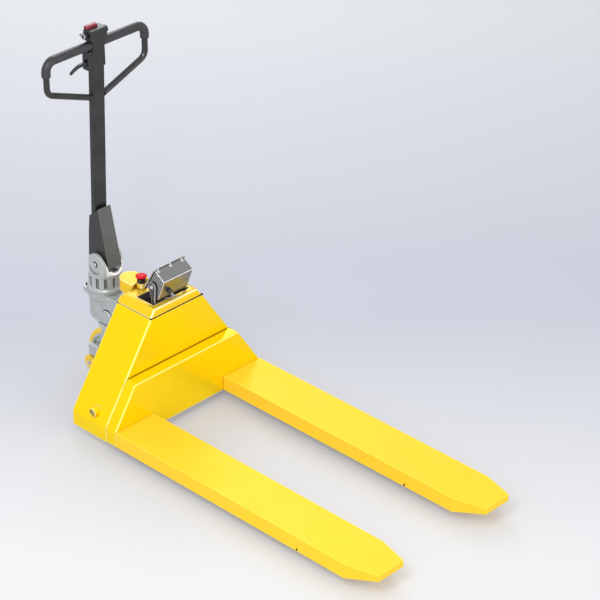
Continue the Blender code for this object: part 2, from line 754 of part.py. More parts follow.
# ---------------------------------------------------------------- drive unit
def base_casting():
    flange_rear = HEEL_X - 0.4806
    ring = [(u, v, 0.0) for u, v in arc((STEER_X, 0.0), 0.0636, -118, 118, 16)]
    flange_outline = rounded(ring + [(flange_rear, 0.045, 0.010), (flange_rear, -0.045, 0.010)], 3)
    casting = plate("base_casting", flange_outline, 0.020, "XY", (0.0, 0.0, FLANGE_TOP_Z - 0.010))
    front = HEEL_X - 0.300
    rear = HEEL_X - 0.452
    housing_outline = rounded(
        [
            (rear, 0.343, 0.0),
            (rear, BASE_BOTTOM_Z, 0.022),
            (front, BASE_BOTTOM_Z, 0.0),
            (front, 0.344, 0.004),
        ],
        5,
    )
    housing = plate("base_housing", housing_outline, 2 * BASE_HALF_WIDTH, "XZ", (0.0, 0.0, 0.0))
    bevel(housing, 0.003, 2)
    shelf = box_between(
        "base_shelf",
        (front - 0.01, -0.036, BASE_BOTTOM_Z + 0.001),
        (HEEL_X - 0.152, 0.036, BASE_BOTTOM_Z + 0.014),
    )
    boss = cylinder("base_boss", 0.024, 2 * 0.048, "Y", (HEEL_X - 0.360, 0.0, 0.264), 28)
    bevel(boss, 0.002, 1)
    join(casting, housing, shelf, boss)
    bore = cylinder("spindle_bore", 0.0200 + GAP, 0.3, "Z", (STEER_X, 0.0, 0.28), 32)
    cut(casting, bore)
    finish(casting, "cast_grey", "drive_base")


def spindle_bush():
    low = BASE_BOTTOM_Z
    high = FLANGE_TOP_Z
    profile = [(0.0200, high), (0.0200, low), (0.0145, low), (0.0145, high)]
    bush = turned("spindle_bush", profile, "Z", (STEER_X, 0.0, 0.0), 32, closed=True)
    finish(bush, "bronze", "drive_base")


CYLINDER_BOTTOM_Z = BASE_BOTTOM_Z + 0.014 + GAP
CYLINDER_TOP_Z = 0.366


def lift_cylinder():
    barrel = cylinder(
        "lift_cylinder",
        0.028,
        CYLINDER_TOP_Z - CYLINDER_BOTTOM_Z,
        "Z",
        (CYLINDER_X, 0.0, (CYLINDER_TOP_Z + CYLINDER_BOTTOM_Z) / 2),
        32,
    )
    bevel(barrel, 0.003, 2)
    bore_bottom = CYLINDER_BOTTOM_Z + 0.010
    bore = cylinder(
        "barrel_bore", 0.0130, 0.2, "Z", (CYLINDER_X, 0.0, bore_bottom + 0.1), 24
    )
    cut(barrel, bore)
    finish(barrel, "black_paint", "drive_base")


def piston_rod():
    low = CYLINDER_BOTTOM_Z + 0.011
    high = CROSSBAR_Z - GAP
    rod = cylinder("piston_rod", 0.0125, high - low, "Z", (CYLINDER_X, 0.0, (low + high) / 2), 24)
    finish(rod, "steel", "frame")


def steering_spindle():
    low = 0.2225 + GAP
    high = 0.366
    spindle = cylinder("steering_spindle", 0.0140, high - low, "Z", (STEER_X, 0.0, (low + high) / 2), 24)
    finish(spindle, "steel", "steering")


HEAD_RADIUS = 0.0595
HEAD_INNER_RADIUS = 0.0540
RIM_SHIFT = 0.0075                # the cup's rim stands forward of the collar below it
EAR_RADIUS = 0.0395
EAR_INNER_Y = 0.0372
EAR_OUTER_Y = 0.0480


def lofted_column(name, sections, segments):
    """A round column through (height, forward shift, radius) sections, closed at both ends."""
    bm = bmesh.new()
    rings = []
    for height, shift, radius in sections:
        place = Matrix.Translation((STEER_X + shift, 0.0, height))
        made = bmesh.ops.create_circle(bm, segments=segments, radius=radius, matrix=place)
        rings.append(made["verts"])
    bm.faces.new(list(reversed(rings[0])))
    bm.faces.new(rings[-1])
    for low, high in zip(rings, rings[1:]):
        for index in range(segments):
            after = (index + 1) % segments
            bm.faces.new((low[index], low[after], high[after], high[index]))
    bmesh.ops.recalc_face_normals(bm, faces=bm.faces)
    return object_from_bmesh(name, bm, (0.0, 0.0, 0.0))


def tiller_head():
    ring_low = FLANGE_TOP_Z + 0.002
    sections = [
        (ring_low, 0.0, 0.0630),
        (0.3585, 0.0, 0.0630),
        (0.3605, 0.0, 0.0625),
        (0.3640, 0.0, HEAD_RADIUS),
        (0.4030, 0.0, HEAD_RADIUS),
        (0.4120, 0.0025, HEAD_RADIUS),
        (0.4220, 0.0062, HEAD_RADIUS),
        (0.4320, RIM_SHIFT, HEAD_RADIUS),
        (0.5000, RIM_SHIFT, HEAD_RADIUS),
    ]
    head = lofted_column("tiller_head", sections, 48)
    rear = HEEL_X - 0.4435
    side_view = (
        [(rear, 0.404)]
        + arc((PIVOT_X, PIVOT_Z), EAR_RADIUS, 180, 38, 12)
        + [
            (HEEL_X - 0.3660, 0.4750),
            (HEEL_X - 0.3620, 0.4610),
            (HEEL_X - 0.3570, 0.4450),
            (HEEL_X - 0.3520, 0.4320),
            (HEEL_X - 0.3475, 0.4225),
            (HEEL_X - 0.3440, 0.4190),
            (HEEL_X - 0.3380, 0.4170),
            (HEEL_X - 0.3380, 0.3300),
            (HEEL_X - 0.4900, 0.3300),
            (HEEL_X - 0.4900, 0.404),
        ]
    )
    boolean(head, plate("head_side_view", side_view, 0.16, "XZ", (0.0, 0.0, 0.0)), "INTERSECT")
    open_angle = math.degrees(math.asin(EAR_INNER_Y / HEAD_INNER_RADIUS))
    pocket_outline = [(HEEL_X - 0.52, -EAR_INNER_Y)] + arc(
        (STEER_X + RIM_SHIFT, 0.0), HEAD_INNER_RADIUS, -open_angle, open_angle, 12
    )
    pocket_outline.append((HEEL_X - 0.52, EAR_INNER_Y))
    pocket = plate("head_pocket", pocket_outline, 0.12, "XY", (0.0, 0.0, 0.4155 + 0.06))
    deep_pocket = box_between(
        "head_deep_pocket",
        (HEEL_X - 0.52, -EAR_INNER_Y + 0.0002, 0.405),
        (HEEL_X - 0.376, EAR_INNER_Y - 0.0002, 0.45),
    )
    foot_room = box_between(
        "head_foot_room",
        (HEEL_X - 0.40, -FOOT_HALF_WIDTH - 0.0007, 0.4302),
        (HEEL_X - 0.3548, FOOT_HALF_WIDTH + 0.0007, 0.52),
    )
    cut(head, pocket, deep_pocket, foot_room)
    flat_outline = arc((PIVOT_X, PIVOT_Z), 0.0370, 180, 360, 18) + [
        (PIVOT_X + 0.060, PIVOT_Z + 0.014),
        (PIVOT_X + 0.060, PIVOT_Z + 0.060),
        (PIVOT_X - 0.060, PIVOT_Z + 0.060),
        (PIVOT_X - 0.060, PIVOT_Z + 0.014),
    ]
    for side, sign in SIDES:
        beside = sign * (EAR_OUTER_Y + 0.015)
        cut(head, plate("ear_flat_" + side, flat_outline, 0.030, "XZ", (0.0, beside, 0.0)))
    slots = []
    for index in range(12):
        angle = math.radians(30 * index - 9)
        centre = (STEER_X + HEAD_RADIUS * math.cos(angle), HEAD_RADIUS * math.sin(angle), 0.3890)
        slot = box(f"collar_slot_{index}", (0.011, 0.0145, 0.044), centre, (0.0, 0.0, angle))
        bevel(slot, 0.004, 1)
        slots.append(slot)
    spindle_seat = cylinder("spindle_seat", 0.0140 + GAP, 0.05, "Z", (STEER_X, 0.0, 0.366 + GAP - 0.025), 24)
    pin_bore = cylinder("ear_pin_bore", 0.0063, 0.2, "Y", (PIVOT_X, 0.0, PIVOT_Z), 16)
    cut(head, spindle_seat, pin_bore, *slots)
    finish(head, "cast_grey", "steering")


def tiller_pin():
    profile = [
        (0.0, 0.0520),
        (0.0085, 0.0520),
        (0.0095, 0.0510),
        (0.0095, 0.0483),
        (0.0060, 0.0483),
        (0.0060, -0.0510),
        (0.0, -0.0510),
    ]
    pin = turned("tiller_pin", profile, "Y", (PIVOT_X, 0.0, PIVOT_Z), 20)
    finish(pin, "steel", "steering")


YOKE_CROWN = (0.2075, 0.2225)
YOKE_INNER_Y = 0.0345
YOKE_OUTER_Y = 0.0420


def wheel_yoke():
    crown_y = YOKE_OUTER_Y + 0.0006
    crown_outline = rounded(
        [
            (HEEL_X - 0.4380, -0.0240, 0.014),
            (HEEL_X - 0.4000, -crown_y, 0.008),
            (HEEL_X - 0.3400, -crown_y, 0.010),
            (HEEL_X - 0.3400, crown_y, 0.010),
            (HEEL_X - 0.4000, crown_y, 0.008),
            (HEEL_X - 0.4380, 0.0240, 0.014),
        ],
        3,
    )
    crown_middle = (YOKE_CROWN[0] + YOKE_CROWN[1]) / 2
    yoke = plate("wheel_yoke", crown_outline, YOKE_CROWN[1] - YOKE_CROWN[0], "XY", (0.0, 0.0, crown_middle))
    leg_outline = rounded(
        [
            (HEEL_X - 0.3940, YOKE_CROWN[1] - 0.001, 0.0),
            (HEEL_X - 0.4020, 0.1300, 0.010),
            (HEEL_X - 0.4610, 0.1150, 0.006),
            (HEEL_X - 0.4660, 0.0400, 0.014),
            (HEEL_X - 0.4360, 0.0300, 0.010),
            (HEEL_X - 0.3620, 0.0760, 0.025),
            (HEEL_X - 0.3450, YOKE_CROWN[1] - 0.001, 0.0),
        ],
        3,
    )
    pieces = []
    for side, sign in SIDES:
        leg_y = sign * (YOKE_INNER_Y + YOKE_OUTER_Y) / 2
        leg = plate("leg_" + side, leg_outline, YOKE_OUTER_Y - YOKE_INNER_Y, "XZ", (0.0, leg_y, 0.0))
        pieces.append(leg)
        near = sign * (YOKE_OUTER_Y - 0.001)
        far = sign * 0.055
        guard = box_between(
            "roller_guard_" + side,
            (HEEL_X - 0.4550, min(near, far), 0.0795),
            (HEEL_X - 0.4080, max(near, far), 0.1260),
        )
        bevel(guard, 0.003, 1)
        pieces.append(guard)
        stub_start = sign * (YOKE_OUTER_Y - 0.001)
        stub_end = sign * 0.0640
        stub = cylinder(
            "stabiliser_stub_" + side,
            0.006,
            abs(stub_end - stub_start),
            "Y",
            (STABILISER_X, (stub_start + stub_end) / 2, STABILISER_Z),
            16,
        )
        pieces.append(stub)
    join(yoke, *pieces)
    axle_bore = cylinder("axle_bore", 0.0100 + GAP, 0.2, "Y", (WHEEL_X, 0.0, WHEEL_RADIUS), 24)
    cut(yoke, axle_bore)
    finish(yoke, "cast_grey", "steering")


def drive_wheel():
    half = WHEEL_WIDTH / 2
    hub_radius = 0.078
    tyre_profile = [
        (WHEEL_RADIUS - 0.006, half),
        (WHEEL_RADIUS - 0.0015, half - 0.004),
        (WHEEL_RADIUS, half - 0.010),
        (WHEEL_RADIUS, -half + 0.010),
        (WHEEL_RADIUS - 0.0015, -half + 0.004),
        (WHEEL_RADIUS - 0.006, -half),
        (hub_radius + GAP, -half),
        (hub_radius + GAP, half),
    ]
    centre = (WHEEL_X, 0.0, WHEEL_RADIUS)
    tyre = turned("drive_tyre", tyre_profile, "Y", centre, 44, closed=True)
    finish(tyre, "yellow_urethane", "drive_wheel")
    hub_half = half + 0.001
    hub_profile = [
        (0.030, hub_half),
        (0.034, hub_half - 0.003),
        (0.066, hub_half - 0.005),
        (0.070, hub_half - 0.001),
        (hub_radius, hub_half - 0.001),
        (hub_radius, -hub_half + 0.001),
        (0.070, -hub_half + 0.001),
        (0.066, -hub_half + 0.005),
        (0.034, -hub_half + 0.003),
        (0.030, -hub_half),
        (0.0105, -hub_half),
        (0.0105, hub_half),
    ]
    hub = turned("drive_hub", hub_profile, "Y", centre, 28, closed=True)
    finish(hub, "cast_grey", "drive_wheel")
    axle = cylinder("drive_axle", 0.0100, 2 * 0.048, "Y", centre, 24)
    bevel(axle, 0.001, 1)
    finish(axle, "steel", "steering")


def stabiliser_wheels():
    half = STABILISER_WIDTH / 2
    profile = [
        (STABILISER_RADIUS - 0.003, half),
        (STABILISER_RADIUS, half - 0.003),
        (STABILISER_RADIUS, -half + 0.003),
        (STABILISER_RADIUS - 0.003, -half),
        (0.0064, -half),
        (0.0064, half),
        (0.0180, half),
        (0.0190, half - 0.001),
        (0.0200, half),
    ]
    for side, sign in SIDES:
        centre = (STABILISER_X, sign * STABILISER_Y, STABILISER_Z)
        wheel = turned("stabiliser_wheel_" + side, profile, "Y", centre, 28, closed=True)
        finish(wheel, "yellow_urethane", "stabiliser_" + side)


# ---------------------------------------------------------------- tiller
def arm_box(name, depth, width, z_low, z_high):
    """A box that follows the arm's lean."""
    low = arm_point(z_low)
    high = arm_point(z_high)
    length = (high - low).length
    return box(name, (depth, width, length), (low + high) / 2, (0.0, ARM_LEAN, 0.0))


def tiller_arm():
    arm = arm_box("tiller_arm", ARM_DEPTH, ARM_WIDTH, ARM_BOTTOM_Z, ARM_TOP_Z)
    bevel(arm, 0.003, 2)
    hollow = arm_box("arm_hollow", ARM_DEPTH - 0.006, ARM_WIDTH - 0.006, ARM_BOTTOM_Z - 0.05, ARM_TOP_Z - 0.006)
    cut(arm, hollow)
    finish(arm, "black_paint", "tiller")


FOOT_HALF_WIDTH = 0.0298
FOOT_SHEET = 0.0035


def tiller_foot():
    top = (HEEL_X - 0.4030, 0.6640)
    toe = (HEEL_X - 0.3555, 0.4480)
    outer = rounded(
        [
            (*top, 0.0),
            (*toe, 0.0),
            (HEEL_X - 0.4000, 0.4350, 0.014),
            (HEEL_X - 0.4575, 0.4620, 0.008),
            (HEEL_X - 0.4530, 0.5600, 0.0),
            (HEEL_X - 0.4455, 0.6290, 0.0),
            (HEEL_X - 0.4150, 0.6500, 0.0),
        ],
        3,
    )
    foot = plate("tiller_foot", outer, 2 * FOOT_HALF_WIDTH, "XZ", (0.0, 0.0, 0.0))
    slope = (top[0] - toe[0]) / (top[1] - toe[1])
    inner = [
        (top[0] - FOOT_SHEET + slope * 0.05, top[1] + 0.05),
        (toe[0] - FOOT_SHEET - slope * 0.05, toe[1] - 0.05),
        (HEEL_X - 0.50, toe[1] - 0.05),
        (HEEL_X - 0.50, top[1] + 0.05),
    ]
    inside = plate("foot_inside", inner, 2 * (ARM_WIDTH / 2 + GAP), "XZ", (0.0, 0.0, 0.0))
    pin_bore = cylinder("foot_pin_bore", 0.0064, 0.2, "Y", (PIVOT_X, 0.0, PIVOT_Z), 16)
    cut(foot, inside, pin_bore)
    finish(foot, "grey_foot_paint", "tiller")


def return_spring():
    turns = 6
    per_turn = 10
    radius = 0.0105
    length = 0.036
    points = []
    for index in range(turns * per_turn + 1):
        angle = 2 * math.pi * index / per_turn
        y = -length / 2 + length * index / (turns * per_turn)
        points.append((PIVOT_X + radius * math.cos(angle), y, PIVOT_Z + radius * math.sin(angle)))
    spring = tube("return_spring", points, 0.0018, 1)
    finish(spring, "steel", "tiller")


LOWER_ENTRY_Z = 1.083
LOWER_CORNER_Z = 1.160
CORNER_RADIUS = 0.034


def loop_path(low_y):
    """The handle loop from the arm's right side, round the top bar, to its left side: (y, z) points."""
    corners = [
        (-LOOP_HALF_WIDTH, LOWER_CORNER_Z),
        (-LOOP_HALF_WIDTH, BAR_Z),
        (LOOP_HALF_WIDTH, BAR_Z),
        (LOOP_HALF_WIDTH, LOWER_CORNER_Z),
    ]
    outline = rounded(
        [(-low_y, LOWER_ENTRY_Z, 0.0)]
        + [(u, v, CORNER_RADIUS) for u, v in corners]
        + [(low_y, LOWER_ENTRY_Z, 0.0)],
        6,
    )
    return outline


def handle_loop():
    points = [(BAR_X, y, z) for y, z in loop_path(0.018)]
    loop = tube("handle_loop", points, BAR_RADIUS, 3)
    arm_room = arm_box("loop_arm_room", 0.08, ARM_WIDTH + 2 * GAP, 1.02, 1.15)
    cut(loop, arm_room)
    finish(loop, "black_paint", "tiller")


GRIP_START_Y = 0.0275
GRIP_END_Z = 1.226


def handle_grips():
    for side, sign in SIDES:
        corner = (LOOP_HALF_WIDTH - CORNER_RADIUS, BAR_Z - CORNER_RADIUS)
        bend = arc(corner, CORNER_RADIUS, 90, 0, 6)
        path = [(GRIP_START_Y, BAR_Z)] + bend + [(LOOP_HALF_WIDTH, GRIP_END_Z)]
        points = [(BAR_X, sign * y, z) for y, z in path]
        grip = tube("grip_" + side, points, GRIP_RADIUS, 4)
        inner_path = [(GRIP_START_Y - 0.02, BAR_Z)] + bend + [(LOOP_HALF_WIDTH, GRIP_END_Z - 0.02)]
        inner = [(BAR_X, sign * y, z) for y, z in inner_path]
        bore = tube("grip_bore_" + side, inner, BAR_RADIUS + 0.0006, 4)
        cut(grip, bore)
        finish(grip, "rubber", "tiller")


HEAD_LOW_Z = 1.2925
HEAD_TOP_Z = BELLY.z
HEAD_HALF_WIDTH = 0.0365
KNOB_RADIUS = 0.0125


def control_housing():
    head = box_between(
        "control_housing",
        (HEAD_REAR_X, -HEAD_HALF_WIDTH, HEAD_LOW_Z),
        (HEEL_X - 0.386, HEAD_HALF_WIDTH, HEAD_TOP_Z),
    )
    bevel(head, 0.006, 3)
    neck = box_between(
        "control_neck",
        (HEEL_X - 0.4255, -0.0262, ARM_TOP_Z + 0.0005),
        (HEEL_X - 0.3935, 0.0262, HEAD_LOW_Z + 0.01),
    )
    join(head, neck)
    bar_bore = cylinder("neck_bar_bore", BAR_RADIUS + 0.0005, 0.2, "Y", (BAR_X, 0.0, BAR_Z), 24)
    shaft_bore = cylinder("throttle_bore", 0.0046, 0.2, "Y", tuple(THROTTLE), 16)
    belly_pocket = box_between(
        "belly_pocket",
        (BELLY.x - 0.0095, BELLY.y - 0.0245, HEAD_TOP_Z - 0.007),
        (BELLY.x + 0.0095, BELLY.y + 0.0245, HEAD_TOP_Z + 0.02),
    )
    pockets = [belly_pocket]
    for name, place in (("horn", HORN), ("lift", LIFT), ("key", KEY)):
        pockets.append(cylinder(name + "_pocket", 0.0065, 0.014, "X", tuple(place), 16))
    cut(head, bar_bore, shaft_bore, *pockets)
    finish(head, "black_plastic", "tiller")


def throttle_butterfly():
    shaft = cylinder("throttle_butterfly", 0.0040, 0.080, "Y", tuple(THROTTLE), 16)
    for side, sign in SIDES:
        centre = (THROTTLE.x, sign * 0.0445, THROTTLE.z)
        knob = cylinder("throttle_knob_" + side, KNOB_RADIUS, 0.013, "Y", centre, 24)
        bevel(knob, 0.0025, 1)
        wing_centre = (THROTTLE.x - 0.012, sign * 0.0445, THROTTLE.z)
        wing = box("throttle_wing_" + side, (0.018, 0.010, 0.007), wing_centre)
        bevel(wing, 0.002, 1)
        join(shaft, knob, wing)
    finish(shaft, "black_plastic", "throttle")


def head_buttons():
    belly = box_between(
        "belly_button",
        (BELLY.x - 0.009, BELLY.y - 0.024, HEAD_TOP_Z - 0.0015),
        (BELLY.x + 0.009, BELLY.y + 0.024, HEAD_TOP_Z + 0.011),
    )
    bevel(belly, 0.004, 3)
    finish(belly, "red_plastic", "belly")
    for name, place, body in (("horn_button", HORN, "horn"), ("lift_button", LIFT, "lift_switch")):
        button = cylinder(name, 0.0060, 0.007, "X", (place.x - 0.0005, place.y, place.z), 20)
        bevel(button, 0.001, 2)
        finish(button, "dark_plastic", body)
    barrel = cylinder("ignition_key", 0.0060, 0.009, "X", (KEY.x - 0.001, KEY.y, KEY.z), 20)
    bow = plate(
        "key_bow",
        rectangle(0.009, 0.007, 0.004, 3, (KEY.x - 0.0125, KEY.z)),
        0.0022,
        "XZ",
        (0.0, KEY.y, 0.0),
    )
    join(barrel, bow)
    finish(barrel, "steel", "key")


LEVER_SLOT_HALF = 0.0058


def lever_housing():
    front = HEEL_X - 0.3985
    housing = box_between(
        "lever_housing", (HEEL_X - 0.4290, -0.0440, 1.1900), (front, 0.0325, 1.2570)
    )
    bevel(housing, 0.003, 2)
    arm_room = arm_box("housing_arm_room", ARM_DEPTH + 2 * GAP, ARM_WIDTH + 2 * GAP, 1.10, 1.35)
    open_front = box_between(
        "housing_open_front",
        (HEEL_X - 0.412, -ARM_WIDTH / 2 - GAP, 1.10),
        (HEEL_X - 0.35, ARM_WIDTH / 2 + GAP, 1.35),
    )
    slot = box_between(
        "lever_slot",
        (LEVER.x - LEVER_SLOT_HALF, -0.06, LEVER.z - 0.012),
        (LEVER.x + LEVER_SLOT_HALF, -0.0305, LEVER.z + 0.016),
    )
    pin_bore = cylinder("lever_pin_bore", 0.0034, 0.021, "X", tuple(LEVER), 16)
    cut(housing, arm_room, open_front, slot, pin_bore)
    finish(housing, "black_plastic", "tiller")


def lowering_lever():
    root = (LEVER.y, LEVER.z)
    tip_y = -0.113
    upper = []
    lower = []
    for step in range(9):
        share = step / 8
        y = LEVER.y - 0.004 + (tip_y - LEVER.y + 0.004) * share
        z = LEVER.z + 0.004 * math.sin(math.pi * share) - 0.016 * share * share
        half = 0.0065 - 0.0030 * share
        upper.append((y, z + half))
        lower.append((y, z - half))
    outline = arc(root, 0.0075, -70, 70, 5) + upper[1:] + lower[:0:-1]
    lever = plate("lowering_lever", outline, 0.0100, "YZ", (LEVER.x, 0.0, 0.0))
    bevel(lever, 0.0015, 1, 50)
    pin = cylinder("lever_pin", 0.0030, 0.019, "X", tuple(LEVER), 12)
    join(lever, pin)
    finish(lever, "black_plastic", "lever")


# ---------------------------------------------------------------- emergency stop and indicator
def emergency_stop():
    base = COVER_TOP_Z + 0.0215
    collar_profile = [
        (0.0080, base + 0.0150),
        (0.0145, base + 0.0150),
        (0.0152, base + 0.0140),
        (0.0152, base + 0.0015),
        (0.0140, base + GAP),
        (0.0108, base + GAP),
        (0.0108, base - 0.0380),
        (0.0080, base - 0.0380),
    ]
    collar = turned("estop_collar", collar_profile, "Z", (ESTOP.x, ESTOP.y, 0.0), 28, closed=True)
    finish(collar, "black_plastic", "frame")
    crown = base + 0.0235
    button_profile = [(u, crown + v * 0.25) for u, v in arc((0.0, 0.0), 0.0200, 90, 25, 5)]
    button_profile += [
        (0.0200, crown + 0.0005),
        (0.0196, crown - 0.0022),
        (0.0125, crown - 0.0022),
        (0.0075, crown - 0.0022),
        (0.0075, base - 0.0300),
        (0.0, base - 0.0300),
    ]
    button = turned("estop_button", button_profile, "Z", (ESTOP.x, ESTOP.y, 0.0), 28)
    finish(button, "red_plastic", "estop")


def indicator_point(x, y, z):
    """A point in the indicator's own frame: x away from the operator, z up along the bezel."""
    return BEZEL + Matrix.Rotation(INDICATOR_TILT, 3, "Y") @ Vector((x, y, z))


def tilted(obj, local_centre):
    """Turns an object built square to the axes into the indicator's frame."""
    obj.matrix_world = (
        Matrix.Translation(indicator_point(*local_centre))
        @ Matrix.Rotation(INDICATOR_TILT, 4, "Y")
        @ obj.rotation_euler.to_matrix().to_4x4()
    )
    return obj


HOUSING_PROFILE = [(0.0046, 0.0475), (0.056, 0.0445), (0.069, -0.0437), (0.0046, -0.0437)]
HOUSING_HALF_WIDTH = 0.0665
PIVOT_HALF_WIDTH = 0.0724


def indicator():
    outline = rounded([(u, v, 0.006 if u > 0.01 else 0.0) for u, v in HOUSING_PROFILE], 3)
    housing = tilted(plate("indicator_housing", outline, 2 * HOUSING_HALF_WIDTH, "XZ", (0, 0, 0)), (0, 0, 0))
    bevel(housing, 0.002, 1)
    inner = [(-0.01, 0.0445), (0.053, 0.0415), (0.0655, -0.0407), (-0.01, -0.0407)]
    hollow = tilted(plate("indicator_hollow", inner, 2 * HOUSING_HALF_WIDTH - 0.006, "XZ", (0, 0, 0)), (0, 0, 0))
    pivot_bosses = []
    for side, sign in SIDES:
        local = (INDICATOR_PIVOT[0], sign * (HOUSING_HALF_WIDTH + 0.0015), INDICATOR_PIVOT[1])
        pivot_bosses.append(tilted(cylinder("pivot_boss_" + side, 0.010, 0.005, "Y", (0, 0, 0), 20), local))
    join(housing, *pivot_bosses)
    gland_local = (0.0632, -0.030, -0.007)
    gland_hole = tilted(cylinder("gland_hole", 0.0045, 0.02, "X", (0, 0, 0), 16), gland_local)
    cut(housing, hollow, gland_hole)
    finish(housing, "stainless", "indicator")

    bezel = tilted(plate("indicator_bezel", rectangle(0.0735, 0.0555, 0.012, 4), 0.004, "YZ", (0, 0, 0)), (0.002, 0, 0))
    window_hole = tilted(box("window_hole", (0.02, 0.092, 0.034), (0, 0, 0)), (0.002, 0, 0.022))
    cut(bezel, window_hole)
    finish(bezel, "stainless", "indicator")

    window = tilted(box("display_window", (0.002, 0.0914, 0.0334), (0, 0, 0)), (0.0018, 0, 0.022))
    finish(window, "glass", "indicator")

    gland_profile = [
        (0.0070, 0.013),
        (0.0072, 0.004),
        (0.0090, 0.004),
        (0.0090, 0.0),
        (0.0043, 0.0),
        (0.0043, -0.006),
        (0.0038, -0.006),
        (0.0038, 0.013),
    ]
    gland_face = (0.0659, -0.030, -0.007)
    gland = tilted(turned("cable_gland", gland_profile, "X", (0, 0, 0), 20, closed=True), gland_face)
    finish(gland, "black_plastic", "indicator")


def indicator_bracket():
    pivot = BODY_ORIGINS["indicator"][1]
    arm_outline = arc((pivot[0], pivot[2]), 0.018, -15, 215, 12) + [
        (HEEL_X - 0.0960, 0.470),
        (HEEL_X - 0.0915, 0.440),
        (HEEL_X - 0.0915, TRAY_FLOOR_Z + 0.0025),
        (HEEL_X - 0.0785, TRAY_FLOOR_Z + 0.0025),
        (HEEL_X - 0.0785, 0.440),
        (HEEL_X - 0.0760, 0.470),
    ]
    y = PIVOT_HALF_WIDTH
    bracket = plate("indicator_bracket", arm_outline, 0.003, "XZ", (0.0, y, 0.0))
    other = plate("bracket_arm_right", arm_outline, 0.003, "XZ", (0.0, -y, 0.0))
    foot = box_between(
        "bracket_foot",
        (HEEL_X - 0.1240, -y, TRAY_FLOOR_Z + 0.0025),
        (HEEL_X - 0.0905, y, TRAY_FLOOR_Z + 0.0055),
    )
    join(bracket, other, foot)
    finish(bracket, "stainless", "frame")


def smooth_path(points, per_span):
    """A Catmull-Rom curve through the points."""
    ends = [points[0] * 2 - points[1]] + points + [points[-1] * 2 - points[-2]]
    path = []
    for index in range(1, len(ends) - 2):
        a, b, c, d = ends[index - 1 : index + 3]
        for step in range(per_span):
            t = step / per_span
            path.append(
                0.5
                * (2 * b + (c - a) * t + (2 * a - 5 * b + 4 * c - d) * t * t + (3 * b - a - 3 * c + d) * t * t * t)
            )
    path.append(points[-1])
    return path


CABLE_RADIUS = 0.0015


def load_cell_cables():
    for side, sign, hole in (("left", 1, CABLE_HOLES[1]), ("right", -1, CABLE_HOLES[0])):
        start = indicator_point(0.060, -0.030 + sign * 0.0018, -0.007)
        mouth = indicator_point(0.080, -0.030 + sign * 0.0018, -0.007)
        leave = indicator_point(0.084, -0.030 + sign * 0.0022, -0.007)
        bend = leave + Vector((0.004, (hole[1] + 0.030) * 0.35, -0.014))
        over = Vector((HEEL_X - 0.062, hole[1] - sign * 0.002, 0.4530))
        drop = Vector((HEEL_X - 0.0815, hole[1], 0.4440))
        down = Vector((hole[0], hole[1], 0.4280))
        end = Vector((hole[0], hole[1], TRAY_FLOOR_Z - 0.008))
        cable = tube("load_cell_cable_" + side, smooth_path([start, mouth, leave, bend, over, drop, down, end], 4), CABLE_RADIUS, 2)
        finish(cable, "cable_grey", "indicator")


# ---------------------------------------------------------------- build
def build():
    chassis_shell()
    heel_box()
    shaft_bushings()
    top_cover()
    recess_tray()
    lift_crossbar()
    inner_equipment()
    for side, sign in SIDES:
        fork_shell(side, sign)
        fork_beam(side, sign)
        load_cells(side, sign)
        roller_arm(side, sign)
        load_roller(side, sign)
        push_rod(side, sign)
    rocker_shaft()
    base_casting()
    spindle_bush()
    lift_cylinder()
    piston_rod()
    steering_spindle()
    tiller_head()
    tiller_pin()
    wheel_yoke()
    drive_wheel()
    stabiliser_wheels()
    tiller_arm()
    tiller_foot()
    return_spring()
    handle_loop()
    handle_grips()
    control_housing()
    throttle_butterfly()
    head_buttons()
    lever_housing()
    lowering_lever()
    emergency_stop()
    indicator()
    indicator_bracket()
    load_cell_cables()
    bpy.context.view_layer.update()


build()
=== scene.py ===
"""An electric pallet truck with weighing forks: materials, small fittings, cables, camera and light.

Places are in metres. X runs from the operator to the fork tips, Y to the left, Z up, and most X values are
measured from the front face of the heel box, which the frame gives.
"""

import math

import bmesh
import bpy
from mathutils import Matrix, Vector


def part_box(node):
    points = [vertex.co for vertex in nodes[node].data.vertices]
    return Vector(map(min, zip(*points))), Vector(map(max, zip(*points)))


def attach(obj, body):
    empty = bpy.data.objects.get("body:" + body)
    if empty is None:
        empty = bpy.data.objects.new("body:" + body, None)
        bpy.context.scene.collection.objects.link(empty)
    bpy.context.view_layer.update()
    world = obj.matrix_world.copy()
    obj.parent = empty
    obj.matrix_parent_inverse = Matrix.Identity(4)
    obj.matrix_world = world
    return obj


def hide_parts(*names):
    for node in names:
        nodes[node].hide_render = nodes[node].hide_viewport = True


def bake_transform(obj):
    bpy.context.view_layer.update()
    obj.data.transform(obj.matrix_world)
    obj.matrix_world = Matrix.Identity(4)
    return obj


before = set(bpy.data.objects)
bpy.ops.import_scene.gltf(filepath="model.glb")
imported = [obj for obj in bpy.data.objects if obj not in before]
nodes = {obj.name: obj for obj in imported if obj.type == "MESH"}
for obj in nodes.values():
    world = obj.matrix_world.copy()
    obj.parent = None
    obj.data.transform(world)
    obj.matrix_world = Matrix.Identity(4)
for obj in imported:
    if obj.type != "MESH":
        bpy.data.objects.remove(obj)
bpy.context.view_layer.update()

HEEL_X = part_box("heel_box")[1].x
SPINDLE_X = -0.412
SIDES = (("left", 1), ("right", -1))


